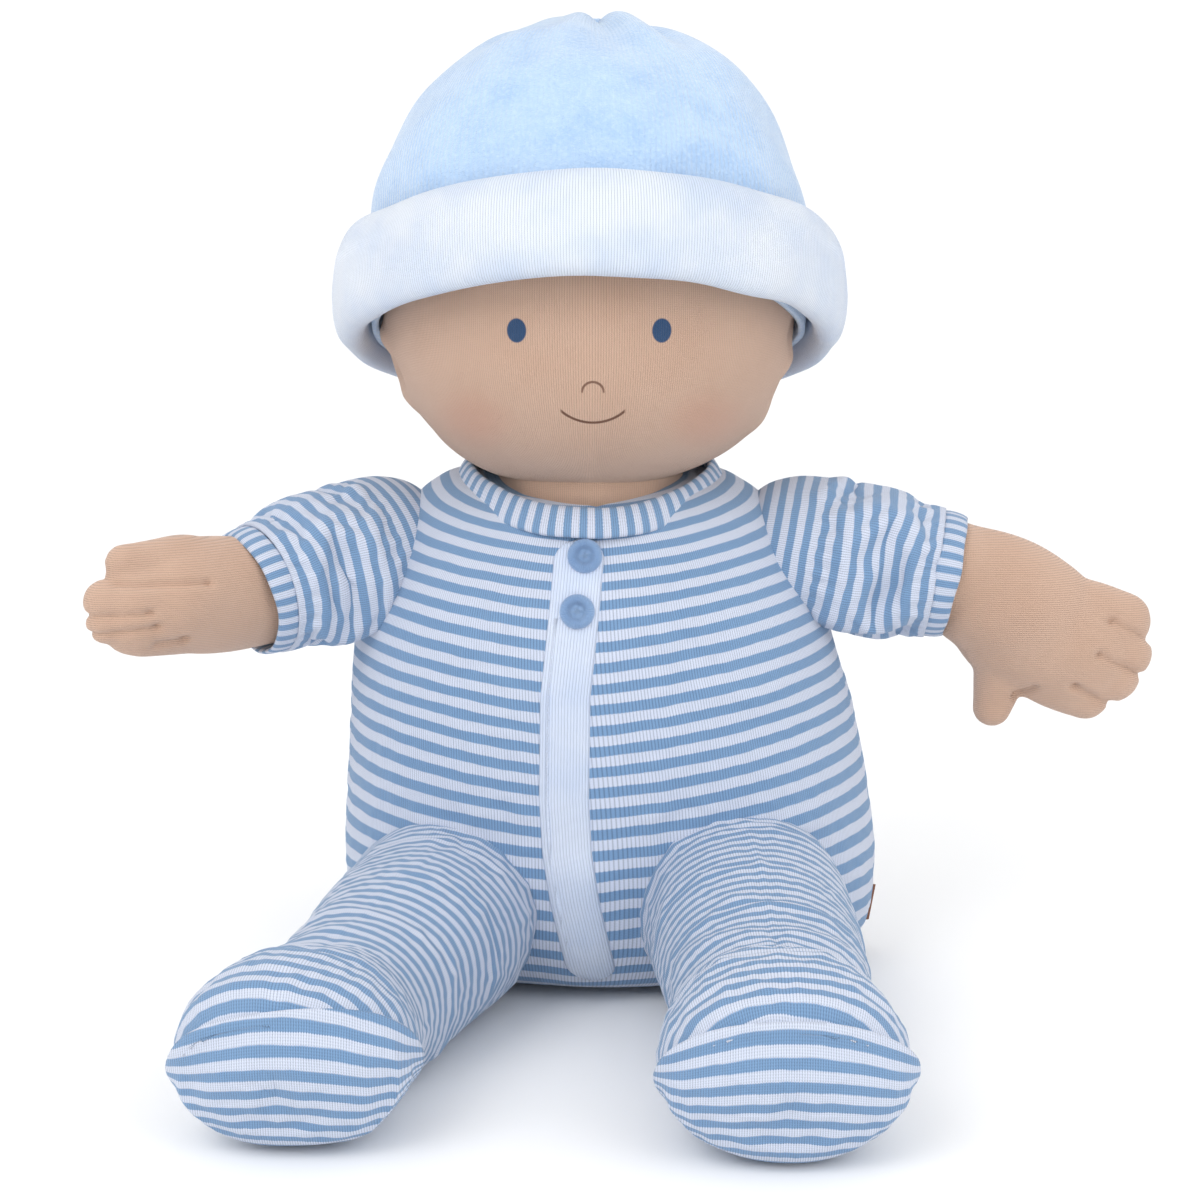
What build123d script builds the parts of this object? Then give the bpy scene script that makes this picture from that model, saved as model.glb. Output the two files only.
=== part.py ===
"""Interactive baby doll: a seated soft doll in a striped footed romper and a turned-up hat.

Millimetres, +Z up. The doll sits on z = 0 and faces -Y, so its own left hand is on +X.
The origin is the middle of the flat seat face. Soft pieces are plain closed solids;
the squeeze-to-play sound module in the belly is built piece by piece.
"""

import math
import os

from build123d import *

# ---------------------------------------------------------------- driving dimensions
# Layers of the soft body, measured inwards from the outer cloth surface
ROMPER_CLOTH = 1.2
SKIN_CLOTH = 0.8
LAYER_GAP = 0.1
MOVING_GAP = 0.4  # between pieces on different bodies

# Torso: a long round-ended section that stays 2 * (half width - half depth) longer than deep
WAIST_HALF_WIDTH = 79.0
WAIST_HALF_DEPTH = 45.0
SEAT_ROUNDING = 12.0
WAIST_TOP = 64.0
SHOULDER_LEVEL = 128.0
SHOULDER_HALF_DEPTH = 37.0
TORSO_TOP = 151.0
TOP_HALF_DEPTH = 27.0
NECK_BASE_RADIUS = 33.0
SIDE_SEAM_Y = 2.0
NECKBAND_LOW = 143.0
NECKBAND_HIGH = 153.0
PELLET_RADIUS = 22.0
PELLET_HEIGHT = 18.0
PELLET_LOW = 9.0
PELLET_Y = 15.0

# Head and neck
HEAD_CENTRE = (0.0, -2.0, 212.0)
HEAD_RADIUS = 60.7
NECK_PIVOT = (0.0, 0.0, 167.0)
NECK_RADIUS = 28.0

# Hat, in its own frame: origin at the head centre, axis tilted back
HAT_TILT = 20.0
CROWN_RADIUS = 65.0
CROWN_RISE = 13.0
CROWN_CLOTH = 2.4
BRIM_LOW = -19.0
BRIM_HIGH = 15.0
BRIM_INNER = 65.2
BRIM_OUTER = 76.5

# Shoulders, hips and limbs
SHOULDER = (64.0, 0.0, 131.0)
SLEEVE_BALL = 21.5
HIP = (43.0, -25.0, 28.5)
LEG_BALL = 28.5
LEG_MIDDLE = 26.5
LEG_FOOT = 28.2
LEG_LENGTH = 143.0
TOE_CAP_LENGTH = 26.0
TAB_RADIUS = 5.0
SWING_ROOM_ARM = 40.5
SWING_ROOM_LEG = 19.0
SLEEVE_LENGTH_ROOM = 45.0
LEG_LENGTH_ROOM = 60.0
ARM_WAY = (0.95, -0.26, 0.0)
LEG_WAY = (0.2, -0.97, 0.1)

# Sound module: a round puck whose axis runs front to back
MODULE_CENTRE = (0.0, -6.0, 82.0)
CASE_RADIUS = 25.0
CASE_HALF_DEPTH = 13.0
CASE_WALL = 1.8
PLAY_BUTTON_RADIUS = 9.0
POUCH_RADIUS = CASE_RADIUS + 2.2
POUCH_LOW = -1.5
POUCH_DEPTH = 33.0

# Arm along +X, then drooped and turned forward at the shoulder
ARM_RADIUS = 17.0
WRIST_X = 48.0
WRIST_RADIUS = 15.5
HAND_CENTRE_X = 79.0
HAND_LENGTH = 58.0
HAND_WIDTH = 46.0
HAND_THICKNESS = 27.0
HAND_ROUNDING = 9.0
THUMB_X = 66.0
THUMB_RADIUS = 8.0
THUMB_TIP_Z = -26.0
SLEEVE_CLOTH = 1.4
CUFF_WIDTH = 8.0
ARM_POSE = {"left": (1, 15.0, -6.0), "right": (-1, 5.0, -36.0)}
LEG_SPREAD = {"left": (1, 1.0), "right": (-1, 16.0)}

# Trim on the torso: heights above the cloth and places
STRIP_LOW = (-10.5, -60.0, 10.0)
STRIP_HIGH = (4.5, 0.0, NECKBAND_LOW - LAYER_GAP)
TRIM_THICK = 1.3
BUTTON_X = -3.0
BUTTON_DISC = 5.0
BUTTON_HEIGHTS = (("upper_button", 136.0), ("lower_button", 117.0))
TAPE_HALF_WIDTH = 9.0
TAPE_LOW = 40.0
TAPE_HIGH = 120.0
LABEL_LOW = (60.0, 16.0, 8.0)
LABEL_HIGH = (100.0, 25.0, 20.0)
LABEL_THICK = 0.9

# Sound module details
CASE_DEPTH = 2 * CASE_HALF_DEPTH
BORE = CASE_RADIUS - CASE_WALL
SCREW_CIRCLE = 20.0
SCREW_ANGLES = (30, 150, 270)
BOSS_RADIUS = 2.6
SCREW_SHANK = 0.9
SCREW_HOLE = 1.0
SCREW_HEAD = 1.9
BATTERY_Y = -9.0
CELL_RADIUS = 5.8
CELL_LENGTH = 5.4
CELL_COUNT = 3
DOOR = (27.0, 14.0, 1.2)
SPEAKER_Y = 11.5
SPEAKER_RADIUS = 9.5
BOARD_RADIUS = 16.5
BOARD_Z = 17.0
BOARD_THICK = 1.2
DOOR_SCREW_X = 9.5
GRILLE_PITCH = 2.8
GRILLE_SLOT = (1.3, 11.0)
GRIP_PITCH = 1.6
GRIP_MIDDLE = -6.5
MAGNET_RADIUS = 5.0
MAGNET_THICK = 3.0
LEAD_X = 7.4
CHIP_PLACE = (8.0, 4.0)
SPRING_RADIUS = 6.0
SPRING_WIRE = 0.35

UP = (Align.CENTER, Align.CENTER, Align.MIN)

os.makedirs("parts", exist_ok=True)


def save(shape, node):
    """Write one node, checking that it holds something."""
    solids = shape.solids()
    assert solids, node
    shape = solids[0] if len(solids) == 1 else Compound(children=solids)
    export_step(shape, f"parts/{node}.step")


def ball(radius, centre):
    return Pos(*centre) * Sphere(radius)


def disc(radius, thick, z, x=0.0, y=0.0):
    return Pos(x, y, z) * Cylinder(radius, thick, align=UP)


def block(low, high):
    """An axis-aligned box between two corners."""
    size = [b - a for a, b in zip(low, high)]
    middle = [(a + b) / 2 for a, b in zip(low, high)]
    return Pos(*middle) * Box(*size)


def turned(points):
    """A solid of revolution about Z from a closed (r, z) outline."""
    outline = Polyline([(r, 0, z) for r, z in points], close=True)
    return revolve(make_face(outline), Axis.Z, 360)


def limb_of_revolution(ball_radius, rings, tip_radius):
    """A round limb along +X: ball at the origin, cones through (x, radius) rings, round tip."""
    last_x = rings[-1][0]
    bend = ball_radius * math.sqrt(0.5)
    tip = tip_radius * math.sqrt(0.5)
    stations = [(0.0, ball_radius)] + list(rings)
    line = ThreePointArc((-ball_radius, 0, 0), (-bend, 0, bend), (0, 0, ball_radius))
    for (x0, r0), (x1, r1) in zip(stations, stations[1:]):
        line += Line((x0, 0, r0), (x1, 0, r1))
    line += ThreePointArc((last_x, 0, tip_radius), (last_x + tip, 0, tip), (last_x + tip_radius, 0, 0))
    line += Line((last_x + tip_radius, 0, 0), (-ball_radius, 0, 0))
    return revolve(make_face(line), Axis.X, 360)


# ---------------------------------------------------------------- torso
def stadium(half_width, half_depth, level):
    return Pos(0, 0, level) * SlotOverall(2 * half_width, 2 * half_depth)


def torso_solid(inset):
    """The torso outline, smaller by inset all round, or larger where inset is negative."""
    overhang = WAIST_HALF_WIDTH - WAIST_HALF_DEPTH
    bottom = inset
    top = TORSO_TOP - inset
    stages = (
        (bottom, WAIST_HALF_DEPTH - SEAT_ROUNDING, SEAT_ROUNDING, WAIST_HALF_DEPTH),
        (SEAT_ROUNDING, WAIST_HALF_DEPTH, WAIST_TOP, WAIST_HALF_DEPTH),
        (WAIST_TOP, WAIST_HALF_DEPTH, SHOULDER_LEVEL, SHOULDER_HALF_DEPTH),
        (SHOULDER_LEVEL, SHOULDER_HALF_DEPTH, top, TOP_HALF_DEPTH),
    )
    body = None
    for low, depth_low, high, depth_high in stages:
        taper = math.degrees(math.atan2(depth_low - depth_high, high - low))
        start = stadium(overhang + depth_low - inset, depth_low - inset, low)
        stage = extrude(start, high - low, dir=(0, 0, 1), taper=taper)
        body = stage if body is None else body + stage
    return body + disc(NECK_BASE_RADIUS - inset, top - SHOULDER_LEVEL, SHOULDER_LEVEL)


def shoulder(side):
    return (side * SHOULDER[0], SHOULDER[1], SHOULDER[2])


def hip(side):
    return (side * HIP[0], HIP[1], HIP[2])


def swing_room(radius, centre, direction, half_angle, length):
    """The space that a ball and the limb on it sweep when they turn by half_angle each way."""
    sine = math.sin(math.radians(half_angle))
    cosine = math.cos(math.radians(half_angle))
    slope = sine / cosine
    long = length + radius * sine
    cone = Cone(radius * cosine, radius * cosine + long * slope, long, align=UP)
    frame = Plane(origin=centre, z_dir=direction)
    return ball(radius, centre) + frame * (Pos(0, 0, -radius * sine) * cone)


def limb_room():
    """Space that the neck, the shoulders and the legs turn in."""
    room = ball(NECK_RADIUS + MOVING_GAP, NECK_PIVOT)
    for side in (-1, 1):
        arm_way = (side * ARM_WAY[0], ARM_WAY[1], ARM_WAY[2])
        leg_way = (side * LEG_WAY[0], LEG_WAY[1], LEG_WAY[2])
        sleeve = SLEEVE_BALL + MOVING_GAP
        leg = LEG_BALL + MOVING_GAP
        room += swing_room(sleeve, shoulder(side), arm_way, SWING_ROOM_ARM, SLEEVE_LENGTH_ROOM)
        room += swing_room(leg, hip(side), leg_way, SWING_ROOM_LEG, LEG_LENGTH_ROOM)
    return room


def pellet_bag(growth):
    """A flat round bag of weighting pellets behind the legs."""
    bag = disc(PELLET_RADIUS + growth, PELLET_HEIGHT + 2 * growth, PELLET_LOW - growth, y=PELLET_Y)
    return fillet(bag.edges().filter_by(GeomType.CIRCLE), PELLET_HEIGHT / 3)


def build_torso():
    room = limb_room()
    outer = torso_solid(0.0)
    skin_outer = torso_solid(ROMPER_CLOTH + LAYER_GAP)
    skin_inner = torso_solid(ROMPER_CLOTH + LAYER_GAP + SKIN_CLOTH)
    filling = torso_solid(ROMPER_CLOTH + SKIN_CLOTH + 2 * LAYER_GAP)

    module_room = module_frame() * disc(POUCH_RADIUS + 0.4, POUCH_DEPTH + 1.0, POUCH_LOW - 0.5)
    pellets = pellet_bag(0.0)
    romper = outer - torso_solid(ROMPER_CLOTH) - room
    skin = skin_outer - skin_inner - room

    front = block((-100, -100, -5), (100, SIDE_SEAM_Y - LAYER_GAP, 170))
    back = block((-100, SIDE_SEAM_Y, -5), (100, 100, 170))
    save(romper & front, "romper_front")
    save(romper & back, "romper_back")
    save(skin & front, "body_skin_front")
    save(skin & back, "body_skin_back")
    save(filling - module_room - pellet_bag(0.3) - room, "body_filling")
    save(pellets, "seat_pellet_bag")


def conforming(layer_low, layer_high, region):
    """A thin piece that lies on the torso, between two heights above its surface."""
    return (torso_solid(-layer_high) & region) - torso_solid(-layer_low)


def build_torso_trim():
    """Neckband, front strip with its embroidered discs, side label and back fastening."""
    band = disc(NECK_BASE_RADIUS + 2.4, NECKBAND_HIGH - NECKBAND_LOW, NECKBAND_LOW)
    band -= disc(NECK_BASE_RADIUS + 0.2, 40, TORSO_TOP - 30)
    save(band - torso_solid(-LAYER_GAP) - limb_room(), "neckband")

    save(conforming(LAYER_GAP, TRIM_THICK, block(STRIP_LOW, STRIP_HIGH)), "button_placket")
    for node, height in BUTTON_HEIGHTS:
        stitched = Pos(BUTTON_X, -30, height) * Rot(X=90) * Cylinder(BUTTON_DISC, 60)
        save(conforming(TRIM_THICK + LAYER_GAP, 2 * TRIM_THICK, stitched), node)

    save(conforming(LAYER_GAP, LABEL_THICK, block(LABEL_LOW, LABEL_HIGH)), "side_label")
    loop = block((-TAPE_HALF_WIDTH, 10, TAPE_LOW), (TAPE_HALF_WIDTH, 80, TAPE_HIGH))
    hook = block((2 - TAPE_HALF_WIDTH, 10, TAPE_LOW + 2), (TAPE_HALF_WIDTH - 2, 80, TAPE_HIGH - 2))
    save(conforming(LAYER_GAP, TRIM_THICK, loop), "back_closure_loop_tape")
    save(conforming(TRIM_THICK + LAYER_GAP, 2 * TRIM_THICK - 0.2, hook), "back_closure_hook_tape")


# ---------------------------------------------------------------- head and hat
def build_head():
    neck_room = ball(NECK_RADIUS + MOVING_GAP, NECK_PIVOT)
    core_radius = HEAD_RADIUS - SKIN_CLOTH - LAYER_GAP
    skin = ball(HEAD_RADIUS, HEAD_CENTRE) - ball(HEAD_RADIUS - SKIN_CLOTH, HEAD_CENTRE) - neck_room
    save(skin & block((-80, -80, 100), (80, -LAYER_GAP / 2, 300)), "face_panel")
    save(skin & block((-80, LAYER_GAP / 2, 100), (80, 80, 300)), "head_back_panel")
    save(ball(core_radius, HEAD_CENTRE) - neck_room, "head_filling")

    neck = ball(NECK_RADIUS, NECK_PIVOT)
    save(neck - ball(NECK_RADIUS - SKIN_CLOTH, NECK_PIVOT) - Pos(0, 0, 250) * Box(80, 80, 120), "neck_skin")
    save(ball(NECK_RADIUS - SKIN_CLOTH - LAYER_GAP, NECK_PIVOT), "neck_filling")


def hat_frame():
    return Pos(*HEAD_CENTRE) * Rot(X=-HAT_TILT)


def build_hat():
    diagonal = math.sqrt(0.5)
    inner = CROWN_RADIUS - CROWN_CLOTH
    line = Line((inner, 0, BRIM_LOW), (CROWN_RADIUS, 0, BRIM_LOW))
    line += Line((CROWN_RADIUS, 0, BRIM_LOW), (CROWN_RADIUS, 0, CROWN_RISE))
    for radius, order in ((CROWN_RADIUS, 1), (inner, -1)):
        arc = [(radius, 0, CROWN_RISE), (radius * diagonal, 0, CROWN_RISE + radius * diagonal)]
        arc.append((0, 0, CROWN_RISE + radius))
        line += ThreePointArc(*arc[::order])
    line += Line((0, 0, CROWN_RISE + CROWN_RADIUS), (0, 0, CROWN_RISE + inner))
    line += Line((inner, 0, CROWN_RISE), (inner, 0, BRIM_LOW))
    save(hat_frame() * revolve(make_face(line), Axis.Z, 360), "hat_top")
    middle = (BRIM_LOW + BRIM_HIGH) / 2
    leaf = [
        (BRIM_INNER, BRIM_LOW),
        (BRIM_INNER + 4.0, BRIM_LOW - 1.5),
        (BRIM_OUTER - 1.5, middle - 8.0),
        (BRIM_OUTER, middle + 2.0),
        (BRIM_OUTER - 1.5, BRIM_HIGH - 3.0),
        (BRIM_OUTER - 5.0, BRIM_HIGH),
        (BRIM_INNER, BRIM_HIGH - 4.0),
    ]
    save(hat_frame() * turned(leaf), "hat_brim")


# ---------------------------------------------------------------- arms
def arm_solid(inset):
    """Upper arm, mitt hand and thumb along +X, smaller by inset all round."""
    rings = [(WRIST_X + 6.0, WRIST_RADIUS - inset)]
    arm = limb_of_revolution(ARM_RADIUS - inset, rings, WRIST_RADIUS - inset)
    outline = SlotOverall(HAND_LENGTH - 2 * inset, HAND_WIDTH - 2 * inset)
    mitt = extrude(Rot(X=90) * outline, HAND_THICKNESS / 2 - inset, both=True)
    mitt = fillet(mitt.edges(), HAND_ROUNDING - inset)
    thumb = Rot(X=180) * disc(THUMB_RADIUS - inset, -THUMB_TIP_Z, 0)
    thumb += Pos(0, 0, THUMB_TIP_Z) * Sphere(THUMB_RADIUS - inset)
    return arm + Pos(HAND_CENTRE_X, 0, 0) * mitt + Pos(THUMB_X, 0, 0) * thumb


def sleeve_solid(inset):
    """The sleeve's ball head and tapering tube along +X."""
    cuff_radius = SLEEVE_BALL - 2.0 - inset
    return limb_of_revolution(SLEEVE_BALL - inset, [(WRIST_X, cuff_radius)], cuff_radius)


def arm_frame(side, droop, forward):
    """Places a limb built along +X at one shoulder."""
    if side > 0:
        return Pos(*shoulder(1)) * Rot(Z=forward) * Rot(Y=droop)
    return Pos(*shoulder(-1)) * Rot(Z=180 - forward) * Rot(Y=droop)


def build_arm(name):
    side, droop, forward = ARM_POSE[name]
    place = arm_frame(side, droop, forward)
    seam_x = WRIST_X - CUFF_WIDTH
    tube = sleeve_solid(0.0) - sleeve_solid(SLEEVE_CLOTH)
    sleeve = tube - block((seam_x, -60, -60), (WRIST_X + 60, 60, 60))
    cuff = tube & block((seam_x + LAYER_GAP, -40, -40), (WRIST_X, 40, 40))
    save(place * sleeve, f"sleeve_{name}")
    save(place * cuff, f"sleeve_cuff_{name}")

    socket = Sphere(TAB_RADIUS + MOVING_GAP)
    save(place * (arm_solid(0.0) - arm_solid(SKIN_CLOTH)), f"arm_skin_{name}")
    save(place * (arm_solid(SKIN_CLOTH + LAYER_GAP) - socket), f"arm_filling_{name}")
    save(ball(TAB_RADIUS, shoulder(side)), f"shoulder_tab_{name}")


# ---------------------------------------------------------------- legs
def leg_solid(inset):
    """A leg along +X: hip ball, tube and rounded foot, smaller by inset all round."""
    foot_x = LEG_LENGTH - LEG_FOOT
    rings = [(foot_x / 2, LEG_MIDDLE - inset), (foot_x, LEG_FOOT - inset)]
    return limb_of_revolution(LEG_BALL - inset, rings, LEG_FOOT - inset)


def build_leg(name):
    side, spread = LEG_SPREAD[name]
    place = Pos(*hip(side)) * Rot(Z=-90 + side * spread)
    seam_x = LEG_LENGTH - TOE_CAP_LENGTH
    romper = leg_solid(0.0) - leg_solid(ROMPER_CLOTH)
    save(place * (romper & block((-60, -60, -60), (seam_x, 60, 60))), f"romper_leg_{name}")
    save(place * (romper & block((seam_x + LAYER_GAP, -60, -60), (250, 60, 60))), f"toe_cap_{name}")
    skin = ROMPER_CLOTH + LAYER_GAP
    save(place * (leg_solid(skin) - leg_solid(skin + SKIN_CLOTH)), f"leg_skin_{name}")
    filling = leg_solid(skin + SKIN_CLOTH + LAYER_GAP) - Sphere(TAB_RADIUS + MOVING_GAP)
    save(place * filling, f"leg_filling_{name}")
    save(ball(TAB_RADIUS, hip(side)), f"hip_tab_{name}")


# ---------------------------------------------------------------- sound module
# Built with its axis along +Z, back face at z = 0, then turned so that the front faces -Y.
def module_frame():
    x, y, z = MODULE_CENTRE
    return Pos(x, y + CASE_HALF_DEPTH, z) * Rot(X=90)


def screw_places():
    return PolarLocations(SCREW_CIRCLE, len(SCREW_ANGLES), start_angle=SCREW_ANGLES[0])


def build_case():
    place = module_frame()
    back = disc(CASE_RADIUS, CASE_HALF_DEPTH, 0) - disc(BORE, CASE_HALF_DEPTH, CASE_WALL)
    front = disc(CASE_RADIUS, CASE_HALF_DEPTH - 0.1, CASE_HALF_DEPTH + 0.1)
    front -= disc(BORE, CASE_HALF_DEPTH - CASE_WALL, CASE_HALF_DEPTH)
    front -= disc(PLAY_BUTTON_RADIUS + 0.1, 10, CASE_DEPTH - 5)
    for spot in screw_places():
        back += spot * disc(BOSS_RADIUS, CASE_HALF_DEPTH - 0.5, 0.5)
        front += spot * disc(BOSS_RADIUS, CASE_HALF_DEPTH - 0.6, CASE_HALF_DEPTH + 0.1)
        back -= spot * disc(SCREW_HOLE, CASE_DEPTH, -1)
        back -= spot * disc(SCREW_HEAD + 0.2, 2.0, -1)
        front -= spot * disc(SCREW_HOLE, 8.0, CASE_HALF_DEPTH - 1)
    for shift in range(-2, 3):
        back -= Pos(GRILLE_PITCH * shift, SPEAKER_Y, 0) * Box(*GRILLE_SLOT, 8)
    back -= Pos(0, BATTERY_Y, 0) * Box(DOOR[0], DOOR[1], 8)
    door = Pos(0, BATTERY_Y, DOOR[2] / 2) * Box(DOOR[0] - 0.4, DOOR[1] - 0.4, DOOR[2])
    for shift in range(-2, 3):
        door -= Pos(GRIP_MIDDLE + GRIP_PITCH * shift, BATTERY_Y, 0) * Box(0.7, 8.0, 0.6)
    door -= disc(1.2, 4, -1, x=DOOR_SCREW_X, y=BATTERY_Y)
    save(place * back, "sound_case_back")
    save(place * front, "sound_case_front")
    save(place * door, "battery_door")
    save(place * door_screw(), "battery_door_screw")
    save(place * Compound(children=[spot * case_screw() for spot in screw_places()]), "case_screws")


def slotted(screw, z, x=0.0, y=0.0):
    """Cut a cross recess in a screw head that faces -Z."""
    for wide, deep in ((1.9, 0.5), (0.5, 1.9)):
        screw -= Pos(x, y, z) * Box(wide, deep, 0.9)
    return screw


def case_screw():
    screw = disc(SCREW_HEAD, 0.8, 0.1) + disc(SCREW_SHANK, 18.0, 0.5)
    return slotted(screw, 0.1)


def door_screw():
    screw = disc(SCREW_HEAD, 0.8, -0.85, x=DOOR_SCREW_X, y=BATTERY_Y)
    screw += disc(SCREW_HOLE, 2.6, -0.1, x=DOOR_SCREW_X, y=BATTERY_Y)
    return slotted(screw, -0.85, x=DOOR_SCREW_X, y=BATTERY_Y)


def build_electrics():
    place = module_frame()
    cell_z = 2.8 + CELL_RADIUS
    stack = CELL_COUNT * CELL_LENGTH + 0.1 * (CELL_COUNT - 1)
    cells = []
    for index in range(CELL_COUNT):
        x = -stack / 2 + index * (CELL_LENGTH + 0.1)
        can = Rot(Y=90) * Cylinder(CELL_RADIUS, CELL_LENGTH - 0.6, align=UP)
        cap = Rot(Y=90) * Cylinder(CELL_RADIUS - 1.4, CELL_LENGTH, align=UP)
        cells.append(Pos(x, BATTERY_Y, cell_z) * (can + cap))
    save(place * Compound(children=cells), "coin_cells")
    contacts = []
    for side in (-1, 1):
        plate = Pos(side * (stack / 2 + 0.35), BATTERY_Y, cell_z) * Box(0.4, 8.0, 9.0)
        contacts.append(plate)
    save(place * Compound(children=contacts), "battery_contacts")

    magnet_z = CASE_WALL + 2.6
    frame = disc(SPEAKER_RADIUS, 2.4, CASE_WALL + 0.1, y=SPEAKER_Y)
    frame -= disc(SPEAKER_RADIUS - 1.2, 1.6, CASE_WALL, y=SPEAKER_Y)
    cone = Pos(0, SPEAKER_Y, CASE_WALL + 0.2) * Cone(SPEAKER_RADIUS - 1.5, 3.0, 1.4, align=UP)
    cone -= Pos(0, SPEAKER_Y, CASE_WALL - 0.2) * Cone(SPEAKER_RADIUS - 1.5, 3.0, 1.4, align=UP)
    save(place * frame, "speaker_frame")
    save(place * cone, "speaker_cone")
    save(place * disc(MAGNET_RADIUS, MAGNET_THICK, magnet_z, y=SPEAKER_Y), "speaker_magnet")

    board = disc(BOARD_RADIUS, BOARD_THICK, BOARD_Z)
    save(place * board, "circuit_board")
    save(place * disc(3.0, 1.3, BOARD_Z - 1.35, *CHIP_PLACE), "sound_chip")
    save(place * disc(3.2, 0.9, BOARD_Z + BOARD_THICK + 0.05), "dome_switch")
    leads = [disc(0.4, 10.3, 6.6, x=side * LEAD_X, y=SPEAKER_Y - 2.5) for side in (-1, 1)]
    leads = [lead & block((-20, -20, 4.5), (20, 20, BOARD_Z - 0.05)) for lead in leads]
    save(place * Compound(children=leads), "speaker_leads")


def build_button():
    place = module_frame()
    front_face = CASE_DEPTH
    flange_top = front_face - CASE_WALL - 0.1
    cap = disc(PLAY_BUTTON_RADIUS, 5.0, flange_top - 0.5)
    flange = disc(PLAY_BUTTON_RADIUS + 1.4, 1.2, flange_top - 1.2)
    stem = disc(2.0, 1.6, flange_top - 2.2)
    button = cap + flange + stem
    rim = button.edges().filter_by(GeomType.CIRCLE).sort_by(Axis.Z)[-1]
    save(place * fillet(rim, 1.4), "play_button")

    low = BOARD_Z + BOARD_THICK + 0.1
    high = flange_top - 1.3
    coil = Helix(pitch=(high - low - 0.8) / 3, height=high - low - 0.8, radius=SPRING_RADIUS)
    wire = Plane(origin=coil @ 0, z_dir=coil % 0) * Circle(SPRING_WIRE)
    save(place * Pos(0, 0, low + 0.4) * sweep(wire, path=coil), "button_spring")


def build_pouch():
    """A drawstring pouch of cloth round the module, open at the back."""
    place = module_frame()
    pouch = disc(POUCH_RADIUS, POUCH_DEPTH, POUCH_LOW)
    pouch -= disc(POUCH_RADIUS - 1.0, POUCH_DEPTH, POUCH_LOW - 1.0)
    save(place * pouch, "module_pouch")


def main():
    build_torso()
    build_torso_trim()
    build_head()
    build_hat()
    for name in ("left", "right"):
        build_arm(name)
        build_leg(name)
    build_case()
    build_electrics()
    build_button()
    build_pouch()


main()
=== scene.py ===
"""Looks for the interactive baby doll: cloth, stitches and the sound module's materials.

Shapes are laid out in millimetres in the row frame and turned into metres where a mesh is made.
"""

import math

import bmesh
import bpy
import numpy as np
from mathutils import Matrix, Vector
from mathutils.bvhtree import BVHTree


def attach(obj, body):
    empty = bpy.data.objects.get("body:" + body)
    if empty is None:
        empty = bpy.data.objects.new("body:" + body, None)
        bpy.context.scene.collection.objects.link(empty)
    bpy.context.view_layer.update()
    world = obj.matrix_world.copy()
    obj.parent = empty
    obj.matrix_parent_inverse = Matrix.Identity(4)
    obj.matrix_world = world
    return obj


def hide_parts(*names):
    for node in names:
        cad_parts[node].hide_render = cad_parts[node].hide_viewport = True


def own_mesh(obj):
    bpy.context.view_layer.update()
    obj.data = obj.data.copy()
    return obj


MM = 0.001
WALE = 0.65  # width of one knitted column
COURSE = 0.5  # height of one knitted row
STRIPE = 6.2  # one blue and one white stripe on the torso
TRIM_STRIPE = 4.4  # the same on the neckband and cuffs
SKIN_WALE = 0.62
BRIM_WALE = 0.8
THINNEST = 0.4  # least half width of a lofted ring
OUTSIDE = 300.0  # a place well clear of the doll, where rays start
UP = (0, 0, 1)
FORWARD = (0, -1, 0)
TURN = 2 * math.pi
HEAD = np.array([0.0, -2.0, 212.0])
HAT_TILT = math.radians(20)
SHOULDER = {"left": np.array([64.0, 0.0, 131.0]), "right": np.array([-64.0, 0.0, 131.0])}
ARM_AIM = {"left": (1, 6.0, 9.0), "right": (-1, 36.0, 11.0)}  # side, forward, droop

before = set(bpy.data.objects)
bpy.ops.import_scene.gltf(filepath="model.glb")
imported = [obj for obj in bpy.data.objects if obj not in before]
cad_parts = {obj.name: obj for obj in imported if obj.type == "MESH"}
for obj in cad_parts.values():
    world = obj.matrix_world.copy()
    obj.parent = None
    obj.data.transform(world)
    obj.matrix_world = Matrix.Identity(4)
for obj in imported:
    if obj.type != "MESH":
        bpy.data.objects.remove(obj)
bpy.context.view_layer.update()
for leftover in [o for o in bpy.data.objects if o.type in ("LIGHT", "CAMERA")]:
    bpy.data.objects.remove(leftover)


# ---------------------------------------------------------------- colours and materials
def srgb(r, g, b):
    """Display values from 0 to 255 as a linear colour."""
    linear = [((c / 255 + 0.055) / 1.055) ** 2.4 if c > 10 else c / 255 / 12.92 for c in (r, g, b)]
    return (*linear, 1.0)


BLUE = srgb(128, 162, 200)
DEEP_BLUE = srgb(98, 136, 180)
STRIPE_WHITE = srgb(209, 217, 235)
VELOUR = srgb(176, 203, 234)
VELOUR_DEEP = srgb(150, 184, 224)
BRIM_WHITE = srgb(232, 239, 250)
SKIN = srgb(206, 173, 152)
SKIN_DEEP = srgb(190, 152, 128)
EYE_BLUE = srgb(46, 74, 110)
LINE_BROWN = srgb(104, 70, 54)


def between(a, b, share):
    """The colour that lies share of the way from a to b."""
    return tuple(p + (q - p) * share for p, q in zip(a, b))


SKIN_SHADE = between(SKIN, SKIN_DEEP, 0.3)


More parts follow.
